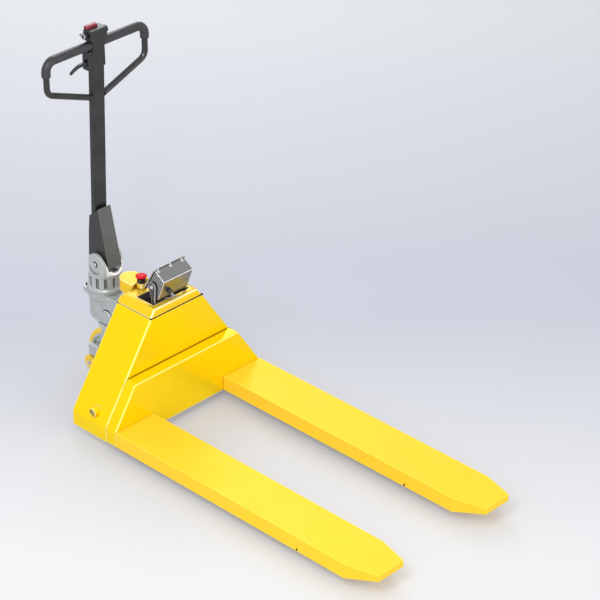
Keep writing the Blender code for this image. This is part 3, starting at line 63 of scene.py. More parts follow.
# ---------------------------------------------------------------- materials
class Surface:
    """A material being built, with the few node patterns that the surfaces below share."""

    def __init__(self, name, colour, roughness, metallic=0.0):
        self.material = bpy.data.materials.new(name)
        self.material.use_nodes = True
        self.tree = self.material.node_tree
        self.shader = self.tree.nodes["Principled BSDF"]
        self.shader.inputs["Metallic"].default_value = metallic
        self.shader.inputs["Roughness"].default_value = roughness
        self.place = self.tree.nodes.new("ShaderNodeTexCoord").outputs["Object"]
        self.colour = None
        self.base = (*colour, 1.0)
        self.normal = None

    def node(self, kind, **settings):
        made = self.tree.nodes.new(kind)
        for key, value in settings.items():
            setattr(made, key, value)
        return made

    def link(self, output, target):
        self.tree.links.new(output, target)

    def noise(self, scale, detail=3.0, stretch=None):
        made = self.node("ShaderNodeTexNoise")
        made.inputs["Scale"].default_value = scale
        made.inputs["Detail"].default_value = detail
        place = self.place
        if stretch:
            mapping = self.node("ShaderNodeMapping")
            mapping.inputs["Scale"].default_value = stretch
            self.link(place, mapping.inputs["Vector"])
            place = mapping.outputs["Vector"]
        self.link(place, made.inputs["Vector"])
        return made.outputs["Fac"]

    def ramp(self, value, low, high, to_low=0.0, to_high=1.0):
        made = self.node("ShaderNodeMapRange")
        for key, number in (("From Min", low), ("From Max", high), ("To Min", to_low), ("To Max", to_high)):
            made.inputs[key].default_value = number
        self.link(value, made.inputs["Value"])
        return made.outputs["Result"]

    def tint(self, value, colour):
        """Mixes colour over what is there, by value from 0 to 1."""
        made = self.node("ShaderNodeMix", data_type="RGBA")
        if self.colour is None:
            made.inputs["A"].default_value = self.base
        else:
            self.link(self.colour, made.inputs["A"])
        made.inputs["B"].default_value = (*colour, 1.0)
        self.link(value, made.inputs["Factor"])
        self.colour = made.outputs["Result"]

    def rough(self, value, low, high):
        self.link(self.ramp(value, 0.25, 0.75, low, high), self.shader.inputs["Roughness"])

    def bump(self, value, distance, strength=0.4):
        made = self.node("ShaderNodeBump")
        made.inputs["Distance"].default_value = distance
        made.inputs["Strength"].default_value = strength
        self.link(value, made.inputs["Height"])
        if self.normal is not None:
            self.link(self.normal, made.inputs["Normal"])
        self.normal = made.outputs["Normal"]

    def soft_edge(self, radius):
        made = self.node("ShaderNodeBevel", samples=6)
        made.inputs["Radius"].default_value = radius
        self.normal = made.outputs["Normal"]

    def both(self, one, two):
        made = self.node("ShaderNodeMath", operation="MULTIPLY")
        self.link(one, made.inputs[0])
        self.link(two, made.inputs[1])
        return made.outputs["Value"]

    def weaker(self, mask, share):
        """A mask whose 1 becomes share, while 0 stays 0."""
        return self.ramp(mask, 0.0, 1.0, 0.0, share)

    def coordinate(self, vector, axis):
        split = self.node("ShaderNodeSeparateXYZ")
        self.link(vector, split.inputs["Vector"])
        return split.outputs[axis]

    def band(self, value, low, high, soft):
        """1 where a value is between low and high, falling to 0 within soft of them."""
        return self.both(self.ramp(value, low - soft, low), self.ramp(value, high + soft, high))

    def edge_turn(self, radius, samples):
        """1 on flat faces, and less where the rounded normal turns away from the face's own at an edge."""
        round_normal = self.node("ShaderNodeBevel", samples=samples)
        round_normal.inputs["Radius"].default_value = radius
        true_normal = self.node("ShaderNodeNewGeometry")
        dot = self.node("ShaderNodeVectorMath", operation="DOT_PRODUCT")
        self.link(round_normal.outputs["Normal"], dot.inputs[0])
        self.link(true_normal.outputs["Normal"], dot.inputs[1])
        return dot.outputs["Value"]

    def openness(self, distance):
        """1 on open faces, and less in corners and seams."""
        shade = self.node("ShaderNodeAmbientOcclusion", samples=8)
        shade.inputs["Distance"].default_value = distance
        return shade.outputs["AO"]

    def edge_mask(self, radius):
        """1 on sharp edges, broken up by noise, and 0 on flat faces."""
        edge = self.ramp(self.edge_turn(radius, 6), 0.98, 0.65)
        return self.both(edge, self.ramp(self.noise(90.0, 4.0), 0.42, 0.62))

    def crease_shade_mask(self, distance):
        """1 in inner corners and seams, 0 elsewhere: where shade is painted in."""
        return self.ramp(self.openness(distance), 0.84, 0.50)

    def edge_highlight_mask(self, radius, distance):
        """1 along outer edges and 0 on flat faces and in inner corners: where highlights are painted in."""
        outer = self.ramp(self.edge_turn(radius, 8), 0.997, 0.965)
        return self.both(outer, self.ramp(self.openness(distance), 0.80, 0.95))

    def within(self, axis, low, high):
        """1 where a coordinate is between low and high, 0 outside."""
        return self.band(self.coordinate(self.place, axis), low, high, 0.0008)

    def normal_along(self, axis):
        """How much of an axis the face's own normal has in it, from -1 to 1."""
        return self.coordinate(self.node("ShaderNodeNewGeometry").outputs["True Normal"], axis)

    def facing_between(self, low, high, axis):
        """1 on faces whose normal has between low and high of an axis in it."""
        return self.band(self.normal_along(axis), low, high, 0.04)

    def near_axis(self, x, y, inside, outside):
        """1 nearer than inside to the upright line at x, y, falling to 0 at outside."""
        flat = self.node("ShaderNodeVectorMath", operation="MULTIPLY")
        flat.inputs[1].default_value = (1.0, 1.0, 0.0)
        self.link(self.place, flat.inputs[0])
        made = self.node("ShaderNodeVectorMath", operation="DISTANCE")
        made.inputs[1].default_value = (x, y, 0.0)
        self.link(flat.outputs["Vector"], made.inputs[0])
        return self.ramp(made.outputs["Value"], outside, inside)

    def by_height(self, low, high):
        """0 below low, 1 above high."""
        return self.ramp(self.coordinate(self.place, "Z"), low, high)

    def done(self):
        if self.colour is not None:
            self.link(self.colour, self.shader.inputs["Base Color"])
        else:
            self.shader.inputs["Base Color"].default_value = self.base
        if self.normal is not None:
            self.link(self.normal, self.shader.inputs["Normal"])
        return self.material


def yellow_paint(
    name="yellow_paint",
    base=(1.0, 0.70, 0.004),
    deep=(0.90, 0.54, 0.002),
    metal=0.35,
    rough=0.20,
    folded=False,
    top=None,
    edge=(1.0, 0.95, 0.50),
):
    """The truck's paint, with painted light and shade: folded adds a painted highlight along rounded front
    edges, top tints level faces with painted shade, and edge is the colour of the painted edge highlights.
    """
    s = Surface(name, base, rough, metal)
    s.soft_edge(0.0022)
    s.tint(s.ramp(s.noise(2.2, 4.0), 0.35, 0.70, 0.0, 0.35), tuple(min(1.0, c * 1.05) for c in base))
    s.tint(s.ramp(s.noise(14.0, 5.0), 0.48, 0.80, 0.0, 0.16), deep)
    # Painted shade: level faces take the darker top colour.
    if top:
        s.tint(s.weaker(s.facing_between(0.94, 1.1, "Z"), 0.85), top)
    # Painted highlight on the middle facet of each rounded front edge.
    if folded:
        glint = (1.0, 0.97, 0.62) if top else (1.0, 0.91, 0.27)
        s.tint(s.weaker(s.facing_between(0.55, 0.84, "X"), 0.90), glint)
    # Painted shade: dark brown in the creases higher than 0.2 m, such as the ledge's, and darker paint in
    # every inner corner and seam.
    s.tint(s.both(s.crease_shade_mask(0.011), s.by_height(0.190, 0.215)), (0.26, 0.14, 0.0))
    s.tint(s.weaker(s.crease_shade_mask(0.005), 0.40), (0.45, 0.27, 0.0))
    # Painted highlight along the outer edges.
    s.tint(s.weaker(s.edge_highlight_mask(0.0050, 0.006), 0.90), edge)
    s.rough(s.noise(9.0, 5.0), rough - 0.05, rough + 0.06)
    s.bump(s.noise(420.0, 2.0), 0.0002, 0.03)
    s.shader.inputs["Specular IOR Level"].default_value = 0.12
    return s.done()


def cast_paint(name="cast_grey", head=False):
    """The grey coated castings; head adds the tiller head's painted light in its cup and painted shade in
    its slots.
    """
    s = Surface(name, (0.44, 0.475, 0.465), 0.38, 0.25)
    s.soft_edge(0.0014)
    s.tint(s.ramp(s.noise(26.0, 5.0), 0.38, 0.66, 0.0, 0.6), (0.53, 0.575, 0.56))
    s.tint(s.ramp(s.noise(160.0, 4.0), 0.55, 0.80, 0.0, 0.45), (0.33, 0.35, 0.355))
    if head:
        # Painted light inside the cup and between the clevis ears, painted shade in the collar's slots.
        axis = (HEEL_X + SPINDLE_X, 0.0)
        cup = s.both(s.near_axis(*axis, 0.0540, 0.0546), s.within("Y", -0.0376, 0.0376))
        s.tint(s.both(cup, s.within("Z", 0.4020, 0.4900)), (1.0, 1.0, 1.0))
        s.tint(s.both(s.within("Y", -0.0374, 0.0374), s.within("Z", 0.4220, 0.5000)), (1.0, 1.0, 1.0))
        slots = s.both(s.near_axis(*axis, 0.0572, 0.0580), s.within("Z", 0.3660, 0.4120))
        s.tint(s.weaker(slots, 0.80), (0.07, 0.075, 0.08))
    # Painted shade in inner corners and seams, and painted highlights along outer edges.
    s.tint(s.weaker(s.crease_shade_mask(0.007), 0.85), (0.07, 0.075, 0.078))
    s.tint(s.weaker(s.edge_highlight_mask(0.0022, 0.005), 0.85), (0.92, 0.94, 0.94))
    s.rough(s.noise(60.0, 4.0), 0.30, 0.46)
    s.bump(s.noise(520.0, 3.0), 0.0004, 0.18)
    return s.done()


def black_paint():
    s = Surface("black_paint", (0.013, 0.0135, 0.012), 0.32)
    s.soft_edge(0.0012)
    s.tint(s.ramp(s.noise(12.0, 5.0), 0.35, 0.70, 0.0, 0.8), (0.028, 0.029, 0.026))
    s.tint(s.weaker(s.edge_mask(0.0018), 0.35), (0.22, 0.22, 0.21))
    s.rough(s.noise(40.0, 4.0), 0.20, 0.32)
    s.bump(s.noise(700.0, 2.0), 0.0003, 0.14)
    return s.done()


def foot_paint():
    s = Surface("grey_foot_paint", (0.024, 0.024, 0.022), 0.34)
    s.soft_edge(0.001)
    # Painted light: faces turned towards +X are lighter.
    s.tint(s.ramp(s.normal_along("X"), 0.6, 0.85), (0.105, 0.105, 0.098))
    s.tint(s.ramp(s.noise(30.0, 5.0), 0.40, 0.75, 0.0, 0.25), (0.060, 0.060, 0.056))
    s.tint(s.weaker(s.edge_mask(0.0018), 0.5), (0.42, 0.42, 0.40))
    s.rough(s.noise(50.0, 4.0), 0.30, 0.46)
    s.bump(s.noise(700.0, 2.0), 0.0003, 0.14)
    return s.done()


def black_plastic():
    s = Surface("black_plastic", (0.016, 0.017, 0.017), 0.30)
    s.soft_edge(0.0008)
    s.tint(s.ramp(s.noise(60.0, 4.0), 0.35, 0.70, 0.0, 0.7), (0.026, 0.027, 0.027))
    s.tint(s.weaker(s.edge_mask(0.0012), 0.4), (0.26, 0.26, 0.26))
    s.rough(s.noise(90.0, 3.0), 0.24, 0.38)
    s.bump(s.noise(1600.0, 2.0), 0.0003, 0.25)
    return s.done()


def tray_plastic():
    s = Surface("dark_plastic", (0.062, 0.046, 0.055), 0.5)
    s.tint(s.ramp(s.noise(45.0, 4.0), 0.35, 0.70, 0.0, 0.7), (0.090, 0.070, 0.082))
    s.tint(s.weaker(s.edge_mask(0.0015), 0.3), (0.28, 0.25, 0.27))
    s.rough(s.noise(70.0, 3.0), 0.40, 0.60)
    s.bump(s.noise(1400.0, 2.0), 0.0003, 0.2)
    return s.done()


def rubber():
    s = Surface("rubber", (0.026, 0.026, 0.028), 0.38)
    s.tint(s.ramp(s.noise(70.0, 5.0), 0.35, 0.70, 0.0, 0.8), (0.040, 0.040, 0.043))
    s.tint(s.weaker(s.edge_mask(0.0015), 0.35), (0.20, 0.20, 0.20))
    s.rough(s.noise(120.0, 3.0), 0.30, 0.46)
    s.bump(s.noise(1100.0, 3.0), 0.0006, 0.35)
    return s.done()


def plastic(name, colour, light, roughness=0.32, shine=0.4):
    s = Surface(name, colour, roughness)
    s.shader.inputs["Specular IOR Level"].default_value = shine
    s.soft_edge(0.0008)
    s.tint(s.ramp(s.noise(40.0, 4.0), 0.35, 0.70, 0.0, 0.6), light)
    s.tint(s.weaker(s.edge_mask(0.0012), 0.35), tuple(min(1.0, c * 1.5 + 0.15) for c in light))
    s.rough(s.noise(60.0, 3.0), roughness - 0.08, roughness + 0.10)
    s.bump(s.noise(1200.0, 2.0), 0.0003, 0.15)
    return s.done()


def brushed(name, colour, light, roughness, metallic, top_bend_highlight=False):
    """Bare metal with its grain across Y and painted highlights along its outer edges; a painted highlight
    can be added on the indicator housing's upper front bend.
    """
    stretch = (1.0, 30.0, 1.0)
    s = Surface(name, colour, roughness, metallic)
    s.soft_edge(0.0009)
    s.tint(s.ramp(s.noise(60.0, 4.0, stretch), 0.35, 0.70, 0.0, 0.7), light)
    s.tint(s.ramp(s.noise(9.0, 4.0), 0.45, 0.80, 0.0, 0.4), tuple(c * 0.7 for c in colour))
    # Painted highlight on the housing's upper front bend.
    if top_bend_highlight:
        s.tint(s.both(s.facing_between(0.85, 1.1, "X"), s.facing_between(0.02, 0.60, "Z")), (1.0, 1.0, 1.0))
    # Painted highlight along the outer edges.
    s.tint(s.weaker(s.edge_highlight_mask(0.0036, 0.004), 0.95), (1.0, 1.0, 1.0))
    s.rough(s.noise(70.0, 4.0, stretch), roughness - 0.08, roughness + 0.12)
    s.bump(s.noise(260.0, 3.0, stretch), 0.0003, 0.15)
    return s.done()


# Dark brown: the own colour of dark fittings, and painted shade where strips stand in for the shade in
# seams, notches and grooves.
def dark_fittings_and_gap_shade():
    s = Surface("dark_fittings_and_gap_shade", (0.020, 0.015, 0.006), 0.7)
    s.tint(s.ramp(s.noise(80.0, 4.0), 0.35, 0.70), (0.034, 0.026, 0.012))
    s.rough(s.noise(120.0, 3.0), 0.60, 0.80)
    s.bump(s.noise(900.0, 2.0), 0.0003, 0.2)
    s.shader.inputs["Specular IOR Level"].default_value = 0.15
    return s.done()


def dark_glass():
    s = Surface("display_glass", (0.016, 0.020, 0.018), 0.08)
    s.tint(s.ramp(s.noise(30.0, 2.0), 0.35, 0.70, 0.0, 0.8), (0.030, 0.038, 0.034))
    s.rough(s.noise(80.0, 3.0), 0.05, 0.12)
    s.shader.inputs["Coat Weight"].default_value = 1.0
    s.shader.inputs["Coat Roughness"].default_value = 0.04
    return s.done()


STAINLESS_COLOURS = ((0.25, 0.255, 0.245), (0.36, 0.365, 0.355))
MATERIALS = {
    "yellow_paint": yellow_paint(),
    "cast_grey": cast_paint(),
    "black_paint": black_paint(),
    "grey_foot_paint": foot_paint(),
    "black_plastic": black_plastic(),
    "dark_plastic": tray_plastic(),
    "rubber": rubber(),
    "red_plastic": plastic("red_plastic", (0.70, 0.006, 0.012), (0.80, 0.012, 0.020), 0.34, 0.15),
    "yellow_urethane": plastic("yellow_urethane", (0.86, 0.56, 0.030), (0.92, 0.64, 0.060), 0.40),
    "cable_grey": plastic("cable_grey", (0.42, 0.42, 0.41), (0.52, 0.52, 0.51), 0.45),
    "steel": brushed("steel", (0.42, 0.43, 0.44), (0.58, 0.59, 0.60), 0.34, 0.9),
    "stainless": brushed("stainless", *STAINLESS_COLOURS, 0.20, 0.85),
    "bronze": brushed("bronze", (0.50, 0.32, 0.14), (0.62, 0.42, 0.20), 0.36, 0.9),
    "glass": dark_glass(),
}
# The cover's top colour is painted shade on its level faces, and its folded edges get a paler painted
# highlight.
GOLD_YELLOW = yellow_paint(
    "cover_paint",
    (0.95, 0.62, 0.020),
    (0.70, 0.43, 0.004),
    0.25,
    0.26,
    folded=True,
    top=(0.70, 0.46, 0.040),
)
# Folded plates get a painted highlight along their rounded front edges.
FOLDED_YELLOW = yellow_paint("folded_plate_paint", folded=True)
# The fork paint's edge colour is the colour of its painted edge highlights.
FORK_YELLOW = yellow_paint(
    "fork_paint", (1.0, 0.64, 0.030), (0.90, 0.56, 0.014), 0.08, 0.42, edge=(1.0, 0.78, 0.060)
)
# The bead's paint is paler than the plates: a painted highlight along the corner it follows.
BEAD_HIGHLIGHT_YELLOW = yellow_paint("bead_paint", (1.0, 0.80, 0.08), (1.0, 0.72, 0.05), 0.05, 0.35)
HEAD_CAST = cast_paint("head_cast", head=True)
HOUSING = brushed("housing_steel", *STAINLESS_COLOURS, 0.20, 0.85, top_bend_highlight=True)
BELLY_RED = plastic("belly_red", (0.22, 0.020, 0.035), (0.30, 0.040, 0.055), 0.30)
BRACKET = brushed("bracket_steel", (0.075, 0.075, 0.078), (0.11, 0.11, 0.115), 0.36, 0.6)
DARK = dark_fittings_and_gap_shade()
CHROME = brushed("bright_zinc", (0.70, 0.71, 0.72), (0.82, 0.83, 0.84), 0.20, 1.0)
SEGMENT = plastic("display_segments", (0.10, 0.42, 0.16), (0.16, 0.55, 0.22), 0.30)
MEMBRANE = plastic("key_membrane", (0.10, 0.16, 0.30), (0.14, 0.21, 0.38), 0.40)

WELD_DISTANCE = 0.00001
SHARP_ANGLE = math.radians(32)


def soften(obj, width):
    """Welds the split edges, rounds the sharp ones and shades the faces smoothly between them."""
    for polygon in obj.data.polygons:
        polygon.use_smooth = True
    weld = obj.modifiers.new("weld", "WELD")
    weld.merge_threshold = WELD_DISTANCE
    if width > 0.0:
        rounding = obj.modifiers.new("round_edges", "BEVEL")
        rounding.width = width
        rounding.segments = 2
        rounding.limit_method = "ANGLE"
        rounding.angle_limit = SHARP_ANGLE
    weighted = obj.modifiers.new("flat_faces", "WEIGHTED_NORMAL")
    weighted.mode = "FACE_AREA"
    weighted.weight = 60
    weighted.keep_sharp = False


# How far the sharp edges are rounded, in metres.
COMMON_EDGE = 0.0005
EDGE_WIDTH = {
    "chassis_shell": 0.0012,
    "heel_box": 0.0012,
    "top_cover": 0.0010,
    "indicator_housing": 0.0012,
    "indicator_bezel": 0.0010,
    "fork_shell_left": 0.0014,
    "fork_shell_right": 0.0014,
}
SPECIAL = {
    "fork_shell_left": FORK_YELLOW,
    "fork_shell_right": FORK_YELLOW,
    "top_cover": GOLD_YELLOW,
    "chassis_shell": FOLDED_YELLOW,
    "heel_box": FOLDED_YELLOW,
    "indicator_housing": HOUSING,
    "tiller_head": HEAD_CAST,
    "belly_button": BELLY_RED,
    "indicator_bracket": BRACKET,
}
for name, obj in nodes.items():
    slot = obj.material_slots[0].material.name.split(".")[0]
    obj.material_slots[0].material = SPECIAL.get(name, MATERIALS[slot])
    soften(obj, EDGE_WIDTH.get(name, COMMON_EDGE))


# ---------------------------------------------------------------- shapes
def added(name, data):
    """A new object with this data, in the scene."""
    obj = bpy.data.objects.new(name, data)
    bpy.context.scene.collection.objects.link(obj)
    return obj


def at(x, y, z):
    """A point with X from the heel box's front face."""
    return Vector((HEEL_X + x, y, z))


def on_side(place, sign):
    """A place given for the left side, on the left with sign 1 and on the right with sign -1."""
    x, y, z = place
    return at(x, sign * y, z)


def piece(name, bm, material, body, matrix=None, edge=0.0003):
    """A visible piece from a bmesh: placed, softened, given its material and riding on its body."""
    bmesh.ops.recalc_face_normals(bm, faces=bm.faces)
    mesh = bpy.data.meshes.new(name)
    bm.to_mesh(mesh)
    bm.free()
    obj = added(name, mesh)
    if matrix is not None:
        mesh.transform(matrix)
    mesh.materials.append(material)
    soften(obj, edge)
    if body:
        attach(obj, body)
    return obj


def turned(profile, steps=28):
    """A closed (radius, height) outline turned about Z."""
    bm = bmesh.new()
    rings = []
    for step in range(steps):
        angle = 2 * math.pi * step / steps
        rings.append([bm.verts.new((r * math.cos(angle), r * math.sin(angle), z)) for r, z in profile])
    count = len(profile)
    for step in range(steps):
        one = rings[step]
        two = rings[(step + 1) % steps]
        for index in range(count):
            after = (index + 1) % count
            bm.faces.new((one[index], two[index], two[after], one[after]))
    bmesh.ops.remove_doubles(bm, verts=bm.verts, dist=0.000001)
    return bm


def slab(outline, low, high):
    """An outline in X and Y, made thick along Z."""
    bm = bmesh.new()
    bottom = [bm.verts.new((x, y, low)) for x, y in outline]
    top = [bm.verts.new((x, y, high)) for x, y in outline]
    bm.faces.new(bottom)
    bm.faces.new(top)
    for index in range(len(outline)):
        after = (index + 1) % len(outline)
        bm.faces.new((bottom[index], bottom[after], top[after], top[index]))
    return bm


def round_rectangle(half_x, half_y, radius, steps, centre=(0.0, 0.0)):
    """A rectangle's outline in X and Y, with round corners of so many steps."""
    points = []
    for quarter, (sx, sy) in enumerate(((1, 1), (-1, 1), (-1, -1), (1, -1))):
        for step in range(steps + 1):
            angle = math.radians(90 * quarter + 90 * step / steps)
            x = centre[0] + sx * (half_x - radius) + radius * math.cos(angle)
            y = centre[1] + sy * (half_y - radius) + radius * math.sin(angle)
            points.append((x, y))
    return points


def arc(radius, first, span, steps):
    """Points along an arc in X and Y, from first over span, both in degrees."""
    angles = [math.radians(first + span * step / steps) for step in range(steps + 1)]
    return [(radius * math.cos(angle), radius * math.sin(angle)) for angle in angles]


def facing(point, direction):
    """A placing that turns Z to a direction, at a point."""
    turn = Vector(direction).to_track_quat("Z", "Y").to_matrix().to_4x4()
    return Matrix.Translation(Vector(point)) @ turn


def add_mesh(bm, other):
    """Adds another part's faces to the first."""
    mesh = bpy.data.meshes.new("addition")
    other.to_mesh(mesh)
    other.free()
    bm.from_mesh(mesh)
    bpy.data.meshes.remove(mesh)


# The middle of a turned shape is a hole this wide, too small to see, so that its faces stay four-sided.
HAIR = 0.0001
SIXTHS = [2 * math.pi * step / 6 for step in range(6)]


def hex_bolt(name, point, direction, across, height, body, material=CHROME, washer=1.35):
    """A bolt head with its washer: across is over the flats, washer is its radius over the head's."""
    radius = across / math.sqrt(3)
    rim = radius * washer
    thick = height * 0.22
    plate = turned([(HAIR, 0.0), (rim, 0.0), (rim, thick), (HAIR, thick)], 24)
    head = slab([(radius * math.cos(turn), radius * math.sin(turn)) for turn in SIXTHS], thick, height)
    add_mesh(plate, head)
    return piece(name, plate, material, body, matrix=facing(point, direction), edge=0.0002)


def socket_screw(name, point, direction, radius, height, body):
    """A round screw head with a socket sunk in it."""
    profile = [
        (HAIR, height * 0.45),
        (radius * 0.50, height * 0.45),
        (radius * 0.50, height),
        (radius * 0.88, height),
        (radius, height * 0.85),
        (radius, 0.0),
        (HAIR, 0.0),
    ]
    return piece(name, turned(profile, 20), CHROME, body, matrix=facing(point, direction), edge=0.0)


def ring(name, point, direction, inner, outer, height, body, material):
    """A flat ring that stands on a face."""
    profile = [(inner, 0.0), (outer, 0.0), (outer, height), (inner, height)]
    return piece(name, turned(profile), material, body, matrix=facing(point, direction), edge=0.0001)


def swept(points, radius, sides=10):
    """A round tube along points, with closed ends."""
    bm = bmesh.new()
    rings = []
    up = Vector((0.0, 0.0, 1.0))
    for index, point in enumerate(points):
        before = points[max(index - 1, 0)]
        after = points[min(index + 1, len(points) - 1)]
        along = (after - before).normalized()
        side = along.cross(up)
        if side.length < 0.05:
            side = along.cross(Vector((0.0, 1.0, 0.0)))
        side.normalize()
        up = side.cross(along).normalized()
        rings.append(
            [
                bm.verts.new(point + radius * (math.cos(a) * side + math.sin(a) * up))
                for a in (2 * math.pi * k / sides for k in range(sides))
            ]
        )
    for one, two in zip(rings, rings[1:]):
        for k in range(sides):
            bm.faces.new((one[k], one[(k + 1) % sides], two[(k + 1) % sides], two[k]))
    bm.faces.new(rings[0])
    bm.faces.new(rings[-1])
    return bm


# ---------------------------------------------------------------- camera
CAMERA_PLACE = at(5.549, -5.135, 4.890)
CAMERA_AIM = at(-0.277, 0.830, 0.0)


def face_along(obj, location, target):
    """Puts a camera or lamp at a location and turns it to a target."""
    obj.location = location
    obj.rotation_euler = (Vector(target) - obj.location).to_track_quat("-Z", "Y").to_euler()


camera_data = bpy.data.cameras.new("camera")
camera_data.lens = 156.3
camera_data.sensor_width = 36.0
camera_data.clip_end = 60.0
camera = added("camera", camera_data)
face_along(camera, CAMERA_PLACE, CAMERA_AIM)
bpy.context.scene.camera = camera

# ---------------------------------------------------------------- load cell cables
INDICATOR_TILT = Matrix.Rotation(math.radians(30.0), 3, "Y")
BEZEL = at(-0.106, 0.0, 0.530)


def indicator_point(x, y, z):
    """A point in the indicator's own frame: x away from the operator, z up along the bezel."""
    return BEZEL + INDICATOR_TILT @ Vector((x, y, z))


def smooth_path(points, per_span):
    """A smooth curve through the points, with so many steps between each two."""
    ends = [points[0] * 2 - points[1]] + points + [points[-1] * 2 - points[-2]]
    path = []
    for index in range(1, len(ends) - 2):
        a, b, c, d = ends[index - 1 : index + 3]
        for step in range(per_span):
            t = step / per_span
            square = (2 * a - 5 * b + 4 * c - d) * t * t
            cube = (3 * b - a - 3 * c + d) * t * t * t
            path.append(0.5 * (2 * b + (c - a) * t + square + cube))
    path.append(points[-1])
    return path


# The cables leave the gland on the indicator's back and go through two holes in the tray's floor.
CABLE_RADIUS = 0.0015
TRAY_FLOOR_Z = 0.405
GLAND_Y, GLAND_Z = -0.030, -0.007
for side, sign, hole_y in (("left", 1, 0.006), ("right", -1, -0.022)):
    leave = indicator_point(0.084, GLAND_Y + sign * 0.0022, GLAND_Z)
    route = smooth_path(
        [
            indicator_point(0.060, GLAND_Y + sign * 0.0018, GLAND_Z),
            indicator_point(0.080, GLAND_Y + sign * 0.0018, GLAND_Z),
            leave,
            leave + Vector((0.004, (hole_y - GLAND_Y) * 0.35, -0.014)),
            at(-0.062, hole_y - sign * 0.002, 0.4530),
            at(-0.0815, hole_y, 0.4440),
            at(-0.084, hole_y, 0.4280),
            at(-0.084, hole_y, TRAY_FLOOR_Z - 0.008),
        ],
        4,
    )
    skin = swept(route, CABLE_RADIUS, 12)
    jacket = MATERIALS["cable_grey"]
    cable = piece("load_cell_cable_skin_" + side, skin, jacket, None, edge=0.0)
    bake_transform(cable)
    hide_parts("load_cell_cable_" + side)

# ---------------------------------------------------------------- indicator fittings
CLIP_THICK = 0.0018
for label, y in (("left", 0.0520), ("middle", 0.0), ("right", -0.0560)):
    clip = slab(round_rectangle(0.0060, 0.0042, 0.001, 2), 0.0, CLIP_THICK)
    leg = slab(round_rectangle(0.0009, 0.0042, 0.0004, 2, (-0.0050, 0.0)), 0.0, 0.0075)
    add_mesh(clip, leg)
    place = Matrix.Translation(indicator_point(0.0102, y, 0.0470)) @ INDICATOR_TILT.to_4x4()
    piece("bezel_clip_" + label, clip, CHROME, "indicator", place, 0.0002)

TILT_PIVOT_END = (-0.08999, 0.0739, 0.50494)
for side, sign in SIDES:
    pivot_end = on_side(TILT_PIVOT_END, sign)
    hex_bolt("bracket_bolt_" + side, pivot_end, (0, sign, 0), 0.0085, 0.0045, "frame", washer=1.5)

TO_OPERATOR = INDICATOR_TILT @ Vector((-1, 0, 0))
for side, sign in SIDES:
    for label, z in (("upper", 0.046), ("lower", -0.046)):
        point = indicator_point(0.0, sign * 0.066, z)
        socket_screw(f"bezel_screw_{label}_{side}", point, TO_OPERATOR, 0.0026, 0.0014, "indicator")

# Shapes for the bezel's face are drawn with X up the bezel, Y to the left and Z towards the operator.
ON_BEZEL = (
    Matrix.Translation(indicator_point(0, 0, 0))
    @ INDICATOR_TILT.to_4x4()
    @ Matrix.Rotation(-math.pi / 2, 4, "Y")
)
KEY_ROW_UP = -0.022
KEY_PITCH = 0.022
for index in range(5):
    middle = (KEY_ROW_UP, -2 * KEY_PITCH + KEY_PITCH * index)
    key = slab(round_rectangle(0.0055, 0.0080, 0.0018, 3, middle), 0.0, 0.0012)
    piece(f"membrane_key_{index}", key, MEMBRANE, "indicator", ON_BEZEL, 0.0003)

# Each digit is a plain 0: (up, over, half height, half width) of its bars from the digit's middle.
LONG, THIN = 0.0031, 0.0009
DIGIT_BARS = (
    (0.0085, 0.0, THIN, 0.0030),
    (-0.0085, 0.0, THIN, 0.0030),
    (0.0043, 0.0042, LONG, THIN),
    (0.0043, -0.0042, LONG, THIN),
    (-0.0043, 0.0042, LONG, THIN),
    (-0.0043, -0.0042, LONG, THIN),
)
DIGIT_ROW_UP = 0.022
DIGIT_PITCH = 0.015
digits = bmesh.new()
for column in range(5):
    for up, over, half_up, half_over in DIGIT_BARS:
        middle = (DIGIT_ROW_UP + up, -2 * DIGIT_PITCH + DIGIT_PITCH * column + over)
        add_mesh(digits, slab(round_rectangle(half_up, half_over, 0.0006, 2, middle), -0.0006, -0.00035))
piece("display_digits", digits, SEGMENT, "indicator", ON_BEZEL, 0.0)

# ---------------------------------------------------------------- cover and chassis fittings
COVER_REAR_X, COVER_FRONT_X, COVER_HALF_Y = -0.2142, -0.0458, 0.1206
# A dark strip in the seam under the cover: painted shade in the gap.
seam_shade_outline = [
    (HEEL_X + COVER_REAR_X, COVER_HALF_Y),
    (HEEL_X + COVER_REAR_X, -COVER_HALF_Y),
    (HEEL_X + COVER_FRONT_X, -COVER_HALF_Y),
    (HEEL_X + COVER_FRONT_X, COVER_HALF_Y),
]
piece("cover_seam_shade", slab(seam_shade_outline, 0.4146, 0.4166), DARK, "frame", edge=0.0)

tray_wire = smooth_path(
    [
        at(-0.150, -0.060, 0.4075),
        at(-0.135, -0.052, 0.4080),
        at(-0.112, -0.060, 0.4085),
        at(-0.098, -0.052, 0.4080),
        at(-0.088, -0.062, 0.4075),
    ],
    5,
)
piece("tray_lead", swept(tray_wire, 0.0012, 8), DARK, "frame", edge=0.0)

CIRCLIP_IN = 0.0022
for side, sign in SIDES:
    low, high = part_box("shaft_bushing_" + side)
    end_y = high.y if sign > 0 else low.y
    seat = ((low.x + high.x) / 2, end_y - sign * CIRCLIP_IN, (low.z + high.z) / 2)
    ring("shaft_circlip_" + side, seat, (0, sign, 0), 0.0126, 0.0139, 0.0012, "frame", DARK)

